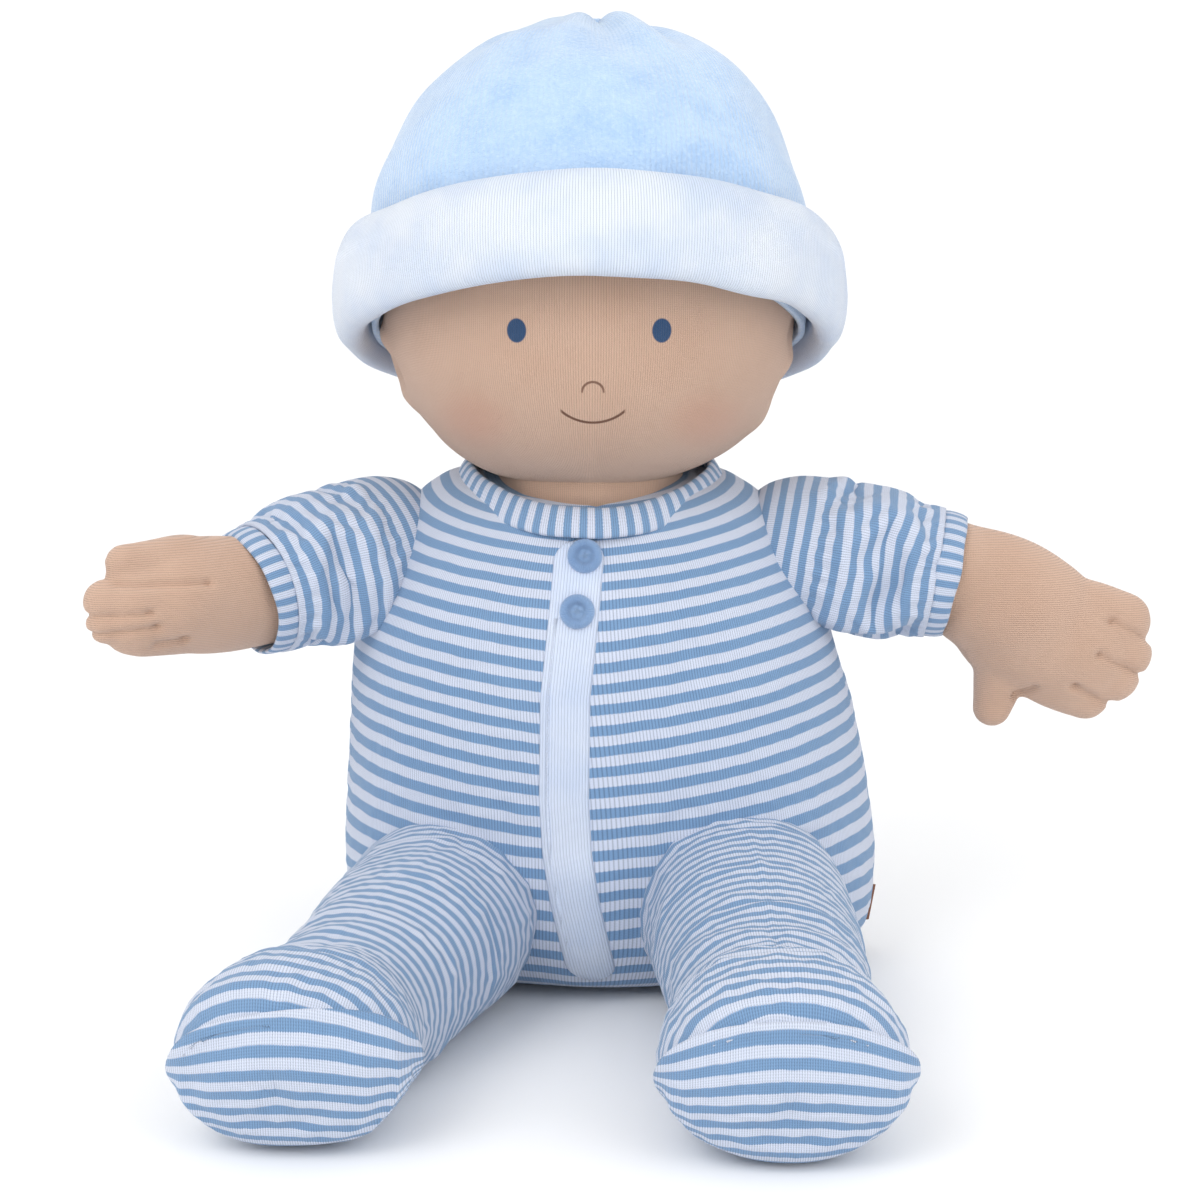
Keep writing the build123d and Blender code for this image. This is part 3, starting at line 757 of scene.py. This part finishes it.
def ribbon(name, tree, path, half_width, thick, material, body, back=False):
    """A strip that follows the torso along path, a list of (x, z)."""
    columns = 15
    path = np.array(path, float)
    step = np.concatenate([[0], np.cumsum(np.linalg.norm(np.diff(path, axis=0), axis=1))])
    rows = max(int(step[-1] / 1.6), 8)
    top, under, uv = [], [], []
    for i in range(rows + 1):
        s = step[-1] * i / rows
        x0, z0 = np.interp(s, step, path[:, 0]), np.interp(s, step, path[:, 1])
        near_end = min(s, step[-1] - s, RIBBON_END) / RIBBON_END
        wide = half_width * math.sqrt(max(1 - (1 - near_end) ** 2, 0.02))
        for k in range(columns + 1):
            f = 2 * k / columns - 1
            hit, n = on_torso(tree, x0 + f * wide, z0, back)
            edge = (1 - abs(f) ** 8) * min(1.0, near_end + 0.3)
            hem = -0.45 * math.exp(-(((f + 0.68) * half_width / 0.5) ** 2))
            top.append(hit + n * (RIBBON_PROUD + thick * edge + hem))
            under.append(hit - n * RIBBON_SUNK)
            uv.append((f * wide + half_width, s))
    base = len(top)
    c = columns + 1
    faces = []
    for i in range(rows):
        for k in range(columns):
            a, b, d, e = i * c + k, i * c + k + 1, (i + 1) * c + k + 1, (i + 1) * c + k
            faces.append((a, e, d, b))
            faces.append((base + a, base + b, base + d, base + e))
        for a, b in ((i * c, (i + 1) * c), ((i + 1) * c + columns, i * c + columns)):
            faces.append((a, base + a, base + b, b))
    for k in range(columns):
        faces.append((k, k + 1, base + k + 1, base + k))
        last = rows * c
        faces.append((last + k, base + last + k, base + last + k + 1, last + k + 1))
    made = cloth_mesh(name, top + under, faces, [uv[v % base] for f in faces for v in f], material)
    face_outwards(made.data)
    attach(made, body)
    return made


# radius and height of the button's rings, from the middle out
BUTTON_RINGS = [(0.8, 1.0), (1.5, 0.8), (1.9, 0.75), (2.4, 1.5), (3.2, 2.1)]
BUTTON_RINGS += [(4.1, 2.0), (4.8, 1.3), (5.1, 0.3), (5.1, -1.0)]


def thread_button(name, tree, x, z, node):
    """A round button drawn in satin stitch: a fat ring of radial threads and a small cross."""
    hit, n = on_torso(tree, x, z)
    n = unit(n)
    side = unit(np.cross((0, 0, 1), n))
    top = np.cross(n, side)
    count, threads, girth = 168, 42, 31.0
    rings = []
    for r, h in BUTTON_RINGS:
        ring = []
        for j in range(count):
            a = TURN * j / count
            ridge = 0.22 * math.sin(a * threads) if r > 2.0 else 0.2 * math.sin(a * 4)
            height = h + ridge * min(1, max(h, 0))
            ring.append(hit + (side * math.cos(a) + top * math.sin(a)) * r + n * height)
        rings.append(ring)
    made = grid_mesh(name, np.array(rings)[::-1], girth, "thread")
    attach(made, "torso")
    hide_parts(node)


PLACKET = [(-2.6, 139.5), (-4.6, 118), (-7.1, 94), (-7.5, 64)]
PLACKET += [(-6.6, 48), (-4.3, 33), (-1.0, 18), (1.4, 7.5)]


def build_trim(body):
    """The front strip with its buttons, the back opening's tape and flap, and the label."""
    tree = surface(body)
    strip = ribbon("button_strip", tree, PLACKET, 7.3, 0.9, "placket", "torso")
    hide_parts("button_placket")
    tree_strip = surface(strip)

    thread_button("upper_thread_button", tree_strip, -1.4, 135.0, "upper_button")
    thread_button("lower_thread_button", tree_strip, -3.6, 119.5, "lower_button")
    hem = [on_torso(tree_strip, x - 5.0, z)[0] + (0, -0.1, 0) for x, z in PLACKET[1:-1]]
    made = stitch_line("strip_hem_stitches", hem, "torso", "placket", 1.6, 0.7, 0.2)
    path = [(0, 118), (0, 80), (0, 42)]
    loop = ribbon("back_loop_tape", tree, path, 9.0, 0.6, "fastener", "torso", True)
    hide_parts("back_closure_loop_tape")
    path = [(1, 126), (1, 80), (1, 34)]
    flap = ribbon("back_opening_flap", tree, path, 12.0, 2.0, "jersey", "torso", True)
    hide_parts("back_closure_hook_tape")
    label_points = []
    for i, h in enumerate(np.linspace(8, 20, 7)):
        ring = []
        for j in range(16):
            a = TURN * j / 16
            c, s = math.cos(a), math.sin(a)
            x = 83.5 + 5.5 * np.sign(c) * abs(c) ** 0.5 + 0.3 * i
            ring.append((x, 20 + 0.7 * np.sign(s) * abs(s) ** 0.5 - 0.3 * i, h))
        label_points.append(ring)
    label = grid_mesh("side_label_tab", np.array(label_points), 22.0, "label")
    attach(label, "torso")
    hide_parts("side_label")


# ---------------------------------------------------------------- head and neck
def head_rows():
    """Rings of the head: a chin rather squarer than a ball, and a round crown under the hat."""
    middle = 211
    heights = [151.1, 151.6, 153, 156, 161, 168, 177, 188, 200, middle]
    heights += [223, 235, 247, 257, 265, 270.5, 272.8, 273.3]
    rows = []
    for z in heights:
        if z < middle:
            share = (1 - ((middle - z) / 60.0) ** 2.7) ** 0.47
        else:
            share = (1 - ((z - middle) / 62.4) ** 2.1) ** 0.5
        rows.append((0, -2.5, z, 61.2 * share, 58.4 * share, 58.4 * share))
    return rows


def build_head():
    points, girth = loft_points(head_rows(), FORWARD, 110, 160, exponent=2.12, heading=UP)
    head = grid_mesh("head_skin", points, girth, "face")
    lumpy(head, 40, 0.35, 5)
    fold(
        head,
        [
            ([(-58, -8, 188), (-57, -16, 186)], 3.6, 2.6),
            ([(-60, -4, 198), (-60, -14, 196)], 3.2, -1.8),
            ([(-56, -8, 178), (-54, -16, 176)], 3.0, -1.3),
            ([(-51, -10, 170), (-48, -20, 168)], 3.6, 1.2),
            ([(60, -8, 200), (60, -16, 198)], 3.2, 1.6),
            ([(59, -8, 190), (58, -16, 188)], 3.2, -1.5),
            ([(57, -8, 181), (55, -16, 179)], 3.4, 1.6),
            ([(53, -8, 171), (50, -18, 169)], 3.6, -1.0),
        ],
    )
    subdivide(head)
    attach(head, "head")
    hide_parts("face_panel", "head_back_panel", "head_filling")


def build_neck():
    heights = [(139.5, 24), (142, 27), (152, 28), (164, 28), (178, 26), (188, 20), (191, 10)]
    points, girth = loft_points([(0, 0, z, r, r, r) for z, r in heights], FORWARD, 50, 96)
    neck = grid_mesh("neck_cloth", points, girth, "skin")
    creases = [
        ([(2, -28, 146), (3, -28, 158)], 1.2, -1.0),
        ([(-20, -20, 150), (0, -28, 152), (20, -20, 151)], 2.0, -0.8),
    ]
    fold(neck, creases)
    subdivide(neck)
    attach(neck, "neck")
    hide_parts("neck_skin", "neck_filling")


# ---------------------------------------------------------------- hat
def hat_point(r, angle, h):
    """From the hat's own round coordinates to the row frame; angle 0 is the front."""
    x, y = r * math.sin(angle), -r * math.cos(angle)
    c, s = math.cos(HAT_TILT), math.sin(HAT_TILT)
    return HEAD + np.array([x, y * c + h * s, -y * s + h * c])


# angle and depth of the crown's gathers
GATHERS = [(-0.75, 2.2), (0.12, 2.6), (0.62, 2.4), (1.3, 1.8), (2.1, 2.2), (2.9, 2.0), (-1.5, 1.8), (-2.3, 2.2)]


def gather(angle, top):
    """Depth of the gathers at an angle: top goes from 0 at the brim to 1 at the crown's point."""
    depth = 0.0
    for place, deep in GATHERS:
        d = (angle - place + math.pi) % (TURN) - math.pi
        depth += deep * math.exp(-((d / 0.13) ** 2)) * np.clip((top - 0.62) / 0.2, 0, 1)
        ridge = math.exp(-(((abs(d) - 0.26) / 0.16) ** 2))
        depth -= 0.5 * deep * ridge * np.clip((top - 0.5) / 0.3, 0, 1)
    return depth


def build_crown():
    columns = 200
    profile = [(64.2, -15), (64.6, -5), (64.9, 5)]
    profile += [(65.0 * math.cos(a) ** 0.84, 13 + 63.0 * math.sin(a)) for a in np.linspace(0.0, 1.545, 46)]
    rings = []
    for r, h in profile:
        ring = []
        top = max(0.0, (h - 13) / 64.0)
        for j in range(columns):
            a = TURN * j / columns - math.pi
            puff = 1.0 + 0.012 * math.sin(3 * a + 1.0) * (1 - top) + 0.01 * math.sin(7 * a) * top
            groove = gather(a, top)
            scale = min(1.0, r / 12.0)
            ring.append(hat_point(max(r * puff - groove * 0.4 * scale, 0.6), a, h - groove * 0.8 * scale))
        rings.append(ring)
    crown = grid_mesh("hat_crown", np.array(rings), TURN * 62, "velour", caps=(False, True))
    lumpy(crown, 30, 0.7, 11)
    subdivide(crown)
    thicken(crown, 2.0)
    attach(crown, "hat")
    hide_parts("hat_top")


# the turned-up brim's section: radius and height in the hat's own round coordinates
BRIM_SECTION = [(66.0, -15), (67.0, -18.5), (70.0, -20.4), (73.2, -18.5), (75.0, -12), (75.4, -4), (74.8, 3)]
BRIM_SECTION += [(72.9, 8.6), (70.6, 11.4), (68.4, 12.0), (66.6, 10.4), (65.9, 5), (65.7, -4)]


def build_brim():
    closed = np.array([*BRIM_SECTION, BRIM_SECTION[0]])
    t = np.concatenate([[0], np.cumsum(np.linalg.norm(np.diff(closed, axis=0), axis=1))])
    around = 52
    s = np.linspace(0, t[-1], around, endpoint=False)
    section = np.stack([np.interp(s, t, closed[:, 0]), np.interp(s, t, closed[:, 1])], axis=1)
    for _ in range(3):
        section = (section + np.roll(section, 1, axis=0) + np.roll(section, -1, axis=0)) / 3
    count = 220
    verts = []
    for j in range(count):
        a = TURN * j / count - math.pi
        sway = 0.9 * math.sin(2 * a + 0.4) + 0.6 * math.sin(5 * a + 2.0)
        lobe = 1.4 * math.exp(-(((abs(a) - 1.35) / 0.35) ** 2))
        for r, h in section:
            share = (r - 66) / 10.0
            out = r + share * (0.5 * sway + lobe)
            verts.append(hat_point(out, a, h + 0.5 * sway + (0.8 if h > 0 else -0.8) * lobe))
    girth = round(TURN * 74 / BRIM_WALE) * BRIM_WALE
    along = girth * np.arange(count + 1) / count
    across = t[-1] * np.arange(around + 1) / around
    rings = np.reshape(verts, (count, around, 3))
    brim = closed_mesh("hat_brim_roll", rings, along, across, "brim", ((0, 0), (0, 1), (1, 1), (1, 0)))
    lumpy(brim, 22, 0.35, 6)
    subdivide(brim)
    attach(brim, "hat")
    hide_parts("hat_brim")


# ---------------------------------------------------------------- arms
def arm_axes(name):
    """Directions of one arm: along it, up across it, and level across it."""
    side, forward, droop = ARM_AIM[name]
    f, d = math.radians(forward), math.radians(droop)
    level = np.array([side * math.cos(f), -math.sin(f), 0.0])
    along = level * math.cos(d) - np.array([0, 0, math.sin(d)])
    up = np.array([0, 0, math.cos(d)]) + level * math.sin(d)
    return along, up, level


HAND_RODS = {
    # (start a, start z), (end a, end z), start radius, end radius, flatness
    "left": [
        ((6, 130), (46, 124.5), 17.0, 16.6, 0.98),
        ((46, 124.5), (70, 112), 16.6, 19.5, 0.84),
        ((66, 111), (82, 103), 20.5, 19.0, 0.7),
        ((80, 113), (96.5, 110.5), 11.0, 9.4, 0.85),
        ((80, 106), (98.5, 101.5), 10.5, 8.4, 0.85),
        ((78, 100), (94.5, 93.5), 10.5, 8.4, 0.85),
        ((72, 97), (87.0, 88.5), 10.5, 8.4, 0.85),
        ((63, 100), (58.8, 83.5), 8.5, 6.0, 0.9),
    ],
    "right": [
        ((6, 130), (44, 122.5), 17.0, 16.2, 0.98),
        ((44, 122.5), (68, 123.5), 16.2, 16.6, 0.95),
        ((62, 123.5), (80, 121.5), 16.6, 14.0, 0.9),
        ((72, 125), (91, 124.0), 8.5, 6.6, 1.0),
        ((72, 119), (91, 118.5), 8.5, 6.2, 1.0),
        ((70, 117), (85, 114.8), 8.5, 6.2, 1.0),
        ((60, 131), (85, 135.4), 9.0, 5.4, 1.0),
    ],
}
FINGER_LINES = {
    "left": [
        ((93.6, 112.1), (107, 104.7)),
        ((90, 102.3), (104, 94)),
        ((83, 92), (98, 83)),
        ((66, 87.5), (71, 91)),
    ],
    "right": [
        ((83, 122.0), (99, 120.8)),
        ((81, 117.6), (97, 115.6)),
        ((72, 112.5), (80, 112.0)),
        ((66, 129.4), (90, 129.9)),
    ],
}


def build_arm(name):
    along, up, level = arm_axes(name)
    base = SHOULDER[name]
    across = np.cross(level, UP)

    def at(a, z):
        return base + level * a + np.array([0, 0, z - base[2]])

    rods = [capsule(at(*a), at(*b), ra, rb, flat, across) for a, b, ra, rb, flat in HAND_RODS[name]]
    arm = joined(f"arm_{name}_skin", rods, "skin", 1.0, 14)
    co = coords(arm)
    n = normals(arm)
    shift = np.zeros(len(co))
    flat_co = co - np.outer((co - base) @ across, across)
    for start, end in FINGER_LINES[name]:
        far = along_segment(flat_co, at(*start), at(*end))
        shift -= 1.3 * np.exp(-((far / 1.1) ** 2))
        first = np.linalg.norm(flat_co - at(*start), axis=1)
        shift -= 0.9 * np.exp(-((first / 1.3) ** 2))
    set_coords(arm, co + n * shift[:, None])
    lumpy(arm, 22, 0.3, 4)
    flat_weave(arm, base, level)
    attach(arm, f"arm_{name}")
    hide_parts(f"arm_skin_{name}", f"arm_filling_{name}")

    def line(x, h=0.0, t=0.0):
        return base + along * x + up * h + across * t

    build_sleeve(name, base, along, line)
    build_cuff(name, line)


# distance along the arm, half width and half height of the sleeve's rings
SLEEVE_RINGS = [(-19, 8, 8), (-15, 15, 15), (-6, 20.5, 20.5), (4, 22.5, 22)]
SLEEVE_RINGS += [(14, 23.2, 21.5), (24, 22, 20.5), (33, 21, 19.6), (41, 19.6, 19.0)]
SLEEVE_FOLDS = {
    # places along, above and across the arm, then the fold's half width and height
    "left": [
        ([(40, 5, 18), (26, -6, 18), (20, -20, 8)], 3.2, 1.8),
        ([(30, 14, 14), (22, 0, 20), (14, -14, 16)], 3.0, -2.0),
        ([(16, -18, 8), (8, -22, 4)], 4.0, 2.0),
        ([(36, -14, 12), (30, -20, 6)], 3.0, 1.6),
        ([(4, 18, 12), (10, 22, 0)], 3.0, -1.4),
    ],
    "right": [
        ([(36, 14, -10), (28, 0, -19), (22, -12, -15)], 3.0, -1.8),
        ([(26, 18, -8), (18, 4, -20), (14, -12, -17)], 3.2, 1.6),
        ([(32, -14, -12), (24, -21, -4)], 4.0, 2.2),
        ([(8, 20, -6), (12, 10, -18)], 3.0, -1.5),
        ([(38, 8, -17), (34, -8, -17)], 2.5, 1.2),
    ],
}


def build_sleeve(name, base, along, line):
    stations = [(*line(x), r, h, h) for x, r, h in SLEEVE_RINGS]
    points, girth = loft_points(stations, UP, 62, 96)
    sleeve = grid_mesh(f"sleeve_{name}_cloth", points, girth, "sleeve", caps=(True, False))
    co = coords(sleeve)
    x = (co - base) @ along
    hold = np.clip((8 - x) / 5, 0, 1) + np.clip((x - 37) / 4, 0, 1)
    settle(sleeve, np.clip(hold, 0, 1), 0.10, 22, 6.0)
    marks = [([line(*place) for place in places], wide, high) for places, wide, high in SLEEVE_FOLDS[name]]
    fold(sleeve, marks)
    subdivide(sleeve)
    thicken(sleeve, 0.9)
    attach(sleeve, f"arm_{name}")
    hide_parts(f"sleeve_{name}")


# distance along the arm and radius of the cuff's rings, out and back inside
CUFF_RINGS = [(39.6, 17.2), (39.6, 19.0), (40.6, 20.0), (43.5, 20.0), (46.6, 19.4), (47.8, 18.6), (47.4, 17.8)]
CUFF_RINGS += [(44, 17.6), (40.5, 17.4)]
CUFF_STRIPES = 28


def build_cuff(name, line):
    rings = []
    columns = 110
    for x, r in CUFF_RINGS:
        ring = []
        for j in range(columns):
            a = TURN * j / columns
            c, s = math.cos(a), math.sin(a)
            wave = 0.5 * math.sin(3 * a + 1) + 0.3 * math.sin(7 * a)
            ring.append(line(x + 0.64 * s + wave * 0.6, (r + 0.2 * wave) * s * 0.97, (r + 0.3 * wave) * c))
        rings.append(ring)
    rings.append(rings[0])
    points = np.array(rings)[:, ::-1]
    cuff = grid_mesh(f"cuff_{name}_cloth", points, TRIM_STRIPE * CUFF_STRIPES, "trim", caps=(False, False))
    face_outwards(cuff.data, weld=True)
    subdivide(cuff)
    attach(cuff, f"arm_{name}")
    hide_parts(f"sleeve_cuff_{name}")


# ---------------------------------------------------------------- legs
LEG_ROWS = {
    "right": [
        (-42, 2, 28, 10, 10, 10),
        (-42, -4, 28, 20, 20, 20),
        (-42.5, -14, 28.5, 27, 25, 26),
        (-43.5, -28, 28.5, 29, 26, 27),
        (-46, -48, 27.5, 29.5, 26, 27),
        (-53, -74, 26.5, 28, 25, 26),
        (-61, -98, 25, 26, 22.5, 25),
        (-68, -119, 24, 25.5, 20.5, 24),
        (-73, -136, 23.5, 30, 24.5, 23.5),
        (-76, -149, 22.5, 31, 26, 22.5),
        (-77.5, -157, 21, 29.5, 24.5, 21),
        (-78, -162.5, 19.5, 24, 20, 18),
        (-78.3, -165.5, 18.5, 15, 13, 12),
        (-78.4, -166.6, 18, 6, 6, 6),
    ],
    "left": [
        (44, 2, 28, 10, 10, 10),
        (44, -4, 28, 20, 20, 20),
        (44, -14, 28.5, 27, 27, 27),
        (44.5, -28, 29, 30, 28.5, 28),
        (46, -48, 28.5, 30.5, 28.5, 28),
        (48, -74, 27, 29.5, 26, 27),
        (49, -98, 26, 28, 23, 26),
        (49.5, -122, 24.5, 27.5, 21.5, 24.5),
        (50, -142, 23.5, 31, 26, 23.5),
        (50, -157, 22.5, 32, 27, 22.5),
        (50, -166, 21, 30, 25, 21),
        (50, -171.5, 19.5, 24, 20, 18),
        (50, -174.5, 18.5, 15, 13, 12),
        (50, -175.6, 18, 6, 6, 6),
    ],
}
TOE_SEAM = {
    # a point on the seam's plane, its normal towards the toe, and the pucker's place
    "right": ((-77, -155, 28), (0.10, -0.74, -0.67), (-66, -160, 26)),
    "left": ((50, -164, 28), (0.0, -0.74, -0.67), (45, -169, 27)),
}


def cut_mesh(obj, point, normal, keep_front):
    """Cut by a plane and close the cut."""
    work = bmesh.new()
    work.from_mesh(obj.data)
    geometry = work.verts[:] + work.edges[:] + work.faces[:]
    made = bmesh.ops.bisect_plane(
        work,
        geom=geometry,
        plane_co=Vector(point) * MM,
        plane_no=Vector(normal),
        clear_inner=keep_front,
        clear_outer=not keep_front,
    )
    edges = [e for e in made["geom_cut"] if isinstance(e, bmesh.types.BMEdge)]
    bmesh.ops.edgeloop_fill(work, edges=edges)
    bmesh.ops.triangulate(work, faces=[f for f in work.faces if len(f.verts) > 4])
    work.to_mesh(obj.data)
    work.free()
    obj.data.update()


TOE_LIP = np.array([0.0, -0.8, -0.45]) * 3.8  # how the leg's cloth hangs over the toe seam
FOOT = {"left": (50, -124), "right": (-77, -118)}  # the foot's middle in x, and the ankle in y
SOLE = 3.0  # below this height the leg flattens on the floor
LEG_SEED = {"left": 18, "right": 16}


def build_leg(name):
    """One footed leg, cut at the toe seam into the leg and its toe cap."""
    points, girth = loft_points(LEG_ROWS[name], UP, 120, 130, exponent=2.1)
    z = points[..., 2]
    points[..., 2] = np.where(z < SOLE, SOLE - SOLE * np.tanh((SOLE - z) / SOLE), z)
    leg = grid_mesh(f"leg_{name}_cloth", points, girth, "leg")
    co = coords(leg)
    y = co[:, 1]
    seam, normal, pucker = (np.array(v, float) for v in TOE_SEAM[name])
    normal = unit(normal)
    ahead = (co - seam) @ normal
    hold = np.clip((y + 42) / 10, 0, 1) + np.clip((6 - co[:, 2]) / 4, 0, 1)
    hold += np.clip(1.2 - np.abs(ahead) / 5, 0, 1)
    settle(leg, np.clip(0.2 + hold, 0, 1), 0.03, 16)
    lumpy(leg, 34, 0.5, LEG_SEED[name])
    cx, ankle = FOOT[name]
    marks = [
        ([(cx - 26, ankle + 14, 38), (cx - 4, ankle + 4, 49), (cx + 22, ankle + 10, 38)], 4.5, -1.6),
        ([(cx - 24, ankle - 4, 36), (cx, ankle - 10, 48), (cx + 24, ankle, 34)], 3.0, 1.0),
        ([(cx - 10, ankle + 30, 48), (cx + 14, ankle + 22, 44)], 3.5, -1.0),
        ([pucker + (-3, 10, 12), pucker], 2.2, -1.5),
        ([pucker + (-11, 8, 9), pucker + (-4, 1, 2)], 2.5, 1.2),
        ([pucker + (9, 8, 8), pucker + (4, 1, 1)], 2.5, 1.0),
    ]
    fold(leg, marks)
    subdivide(leg)
    toe = bpy.data.objects.new(f"toe_{name}_cloth", leg.data.copy())
    bpy.context.scene.collection.objects.link(toe)
    toe.data.materials[0] = MATERIALS["toe"]

    def upper(co):
        return np.clip((co[:, 2] - 8) / 14, 0, 1)

    co, n = coords(toe), normals(toe)
    tucked = -2.0 * np.exp(-((((co - seam) @ normal) / 2.6) ** 2)) * upper(co)
    set_coords(toe, co + n * tucked[:, None])
    cut_mesh(toe, seam, normal, True)
    cut_mesh(leg, seam, normal, False)
    co, n = coords(leg), normals(leg)
    lip = np.exp(-((((co - seam) @ normal) / 4.0) ** 2)) * upper(co)
    lip *= 1 - 0.55 * np.exp(-(((co[:, 0] - pucker[0]) / 4.0) ** 2))
    set_coords(leg, co + (n + TOE_LIP) * lip[:, None])

    co = coords(toe)
    level = co[:, 0] - cx
    heart = seam + (0, 22, -8)
    rise = np.arctan2(heart[1] - co[:, 1], co[:, 2] - heart[2]) * 26.0 - 0.004 * level**2
    set_weave(toe.data, np.stack([level, rise], axis=1)[corner_index(toe.data)])
    for piece, node in ((leg, "romper_leg"), (toe, "toe_cap")):
        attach(piece, f"leg_{name}")
        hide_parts(f"{node}_{name}")
    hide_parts(f"leg_skin_{name}", f"leg_filling_{name}")


def build_spring():
    """The button's return spring, which shortens as the button goes in; its fixed end is on the board."""
    turns, radius, wire = 3, 6.0, 0.35
    board, button = -11.7, -15.4
    rings = []
    for t in np.linspace(0, 1, 40 * turns):
        a = TURN * turns * t
        out = np.array([math.cos(a), 0.0, math.sin(a)])
        centre = np.array([0, board + (button - board) * t, 82.0]) + out * radius
        ring = []
        for k in range(10):
            b = TURN * k / 10
            ring.append(centre + out * wire * math.cos(b) + np.array([0, wire * math.sin(b), 0]))
        rings.append(ring)
    spring = grid_mesh("button_return_spring", np.array(rings), 2.2, "contact")
    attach(spring, "torso")
    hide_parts("button_spring")
    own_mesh(spring)


body = build_torso()
build_neckband()
build_trim(body)
build_head()
build_neck()
build_crown()
build_brim()
for which in ("left", "right"):
    build_arm(which)
    build_leg(which)
build_spring()

# ---------------------------------------------------------------- CAD nodes that stay
CARRIED = {
    "pouch": ["module_pouch"],
    "case": ["sound_case_front", "sound_case_back", "battery_door"],
    "button": ["play_button"],
    "screw": ["case_screws", "battery_door_screw"],
    "cell": ["coin_cells"],
    "contact": ["battery_contacts", "dome_switch"],
    "board": ["circuit_board"],
    "chip": ["sound_chip", "speaker_frame"],
    "cone": ["speaker_cone"],
    "magnet": ["speaker_magnet"],
    "lead": ["speaker_leads"],
    "skin": ["shoulder_tab_left", "shoulder_tab_right", "hip_tab_left", "hip_tab_right"],
}
for look, names in CARRIED.items():
    for node in names:
        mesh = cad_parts[node].data
        mesh.materials.clear()
        mesh.materials.append(MATERIALS[look])

# ---------------------------------------------------------------- studio
BEND = 1.2  # radius of the backdrop's curve, in metres
sweep = [(-2.5, 0.0), (1.0, 0.0)]
sweep += [(1.0 + BEND * math.sin(a), BEND - BEND * math.cos(a)) for a in np.linspace(0.1, math.pi / 2, 14)]
sweep += [(1.0 + BEND, 4.0)]
points = [(x, y, z - 0.0006) for x in (-3.5, 3.5) for y, z in sweep]
quads = [(i, i + len(sweep), i + len(sweep) + 1, i + 1) for i in range(len(sweep) - 1)]
mesh = bpy.data.meshes.new("floor")
mesh.from_pydata(points, [], quads)
mesh.polygons.foreach_set("use_smooth", [True] * len(quads))
floor = bpy.data.objects.new("floor", mesh)
bpy.context.scene.collection.objects.link(floor)
pale = bpy.data.materials.new("floor_pale")
pale.use_nodes = True
pale.node_tree.nodes["Principled BSDF"].inputs["Base Color"].default_value = (0.97, 0.97, 0.97, 1)
pale.node_tree.nodes["Principled BSDF"].inputs["Roughness"].default_value = 0.9
floor.data.materials.append(pale)

scene = bpy.context.scene
world = bpy.data.worlds.new("studio")
world.use_nodes = True
world.node_tree.nodes["Background"].inputs[0].default_value = (1.0, 1.0, 1.0, 1)
world.node_tree.nodes["Background"].inputs[1].default_value = 1.0
scene.world = world
scene.view_settings.view_transform = "Standard"


def area_light(place, aim, size, power):
    lamp = bpy.data.lights.new("soft_light", "AREA")
    lamp.size = size
    lamp.energy = power
    made = bpy.data.objects.new("soft_light", lamp)
    made.location = place
    made.rotation_euler = (Vector(aim) - Vector(place)).to_track_quat("-Z", "Y").to_euler()
    scene.collection.objects.link(made)


area_light((-0.7, -1.0, 1.1), (0, 0, 0.14), 0.9, 7.0)
area_light((0.9, -0.9, 0.8), (0, 0, 0.14), 0.9, 3.5)

lens = bpy.data.cameras.new("camera")
lens.sensor_width = 36.0
lens.lens = 18.0 / math.tan(math.radians(12.7))
camera = bpy.data.objects.new("camera", lens)
camera.location = (0.003, -0.8, 0.26)
camera.rotation_euler = (math.radians(79.75), 0, 0)
scene.collection.objects.link(camera)
scene.camera = camera
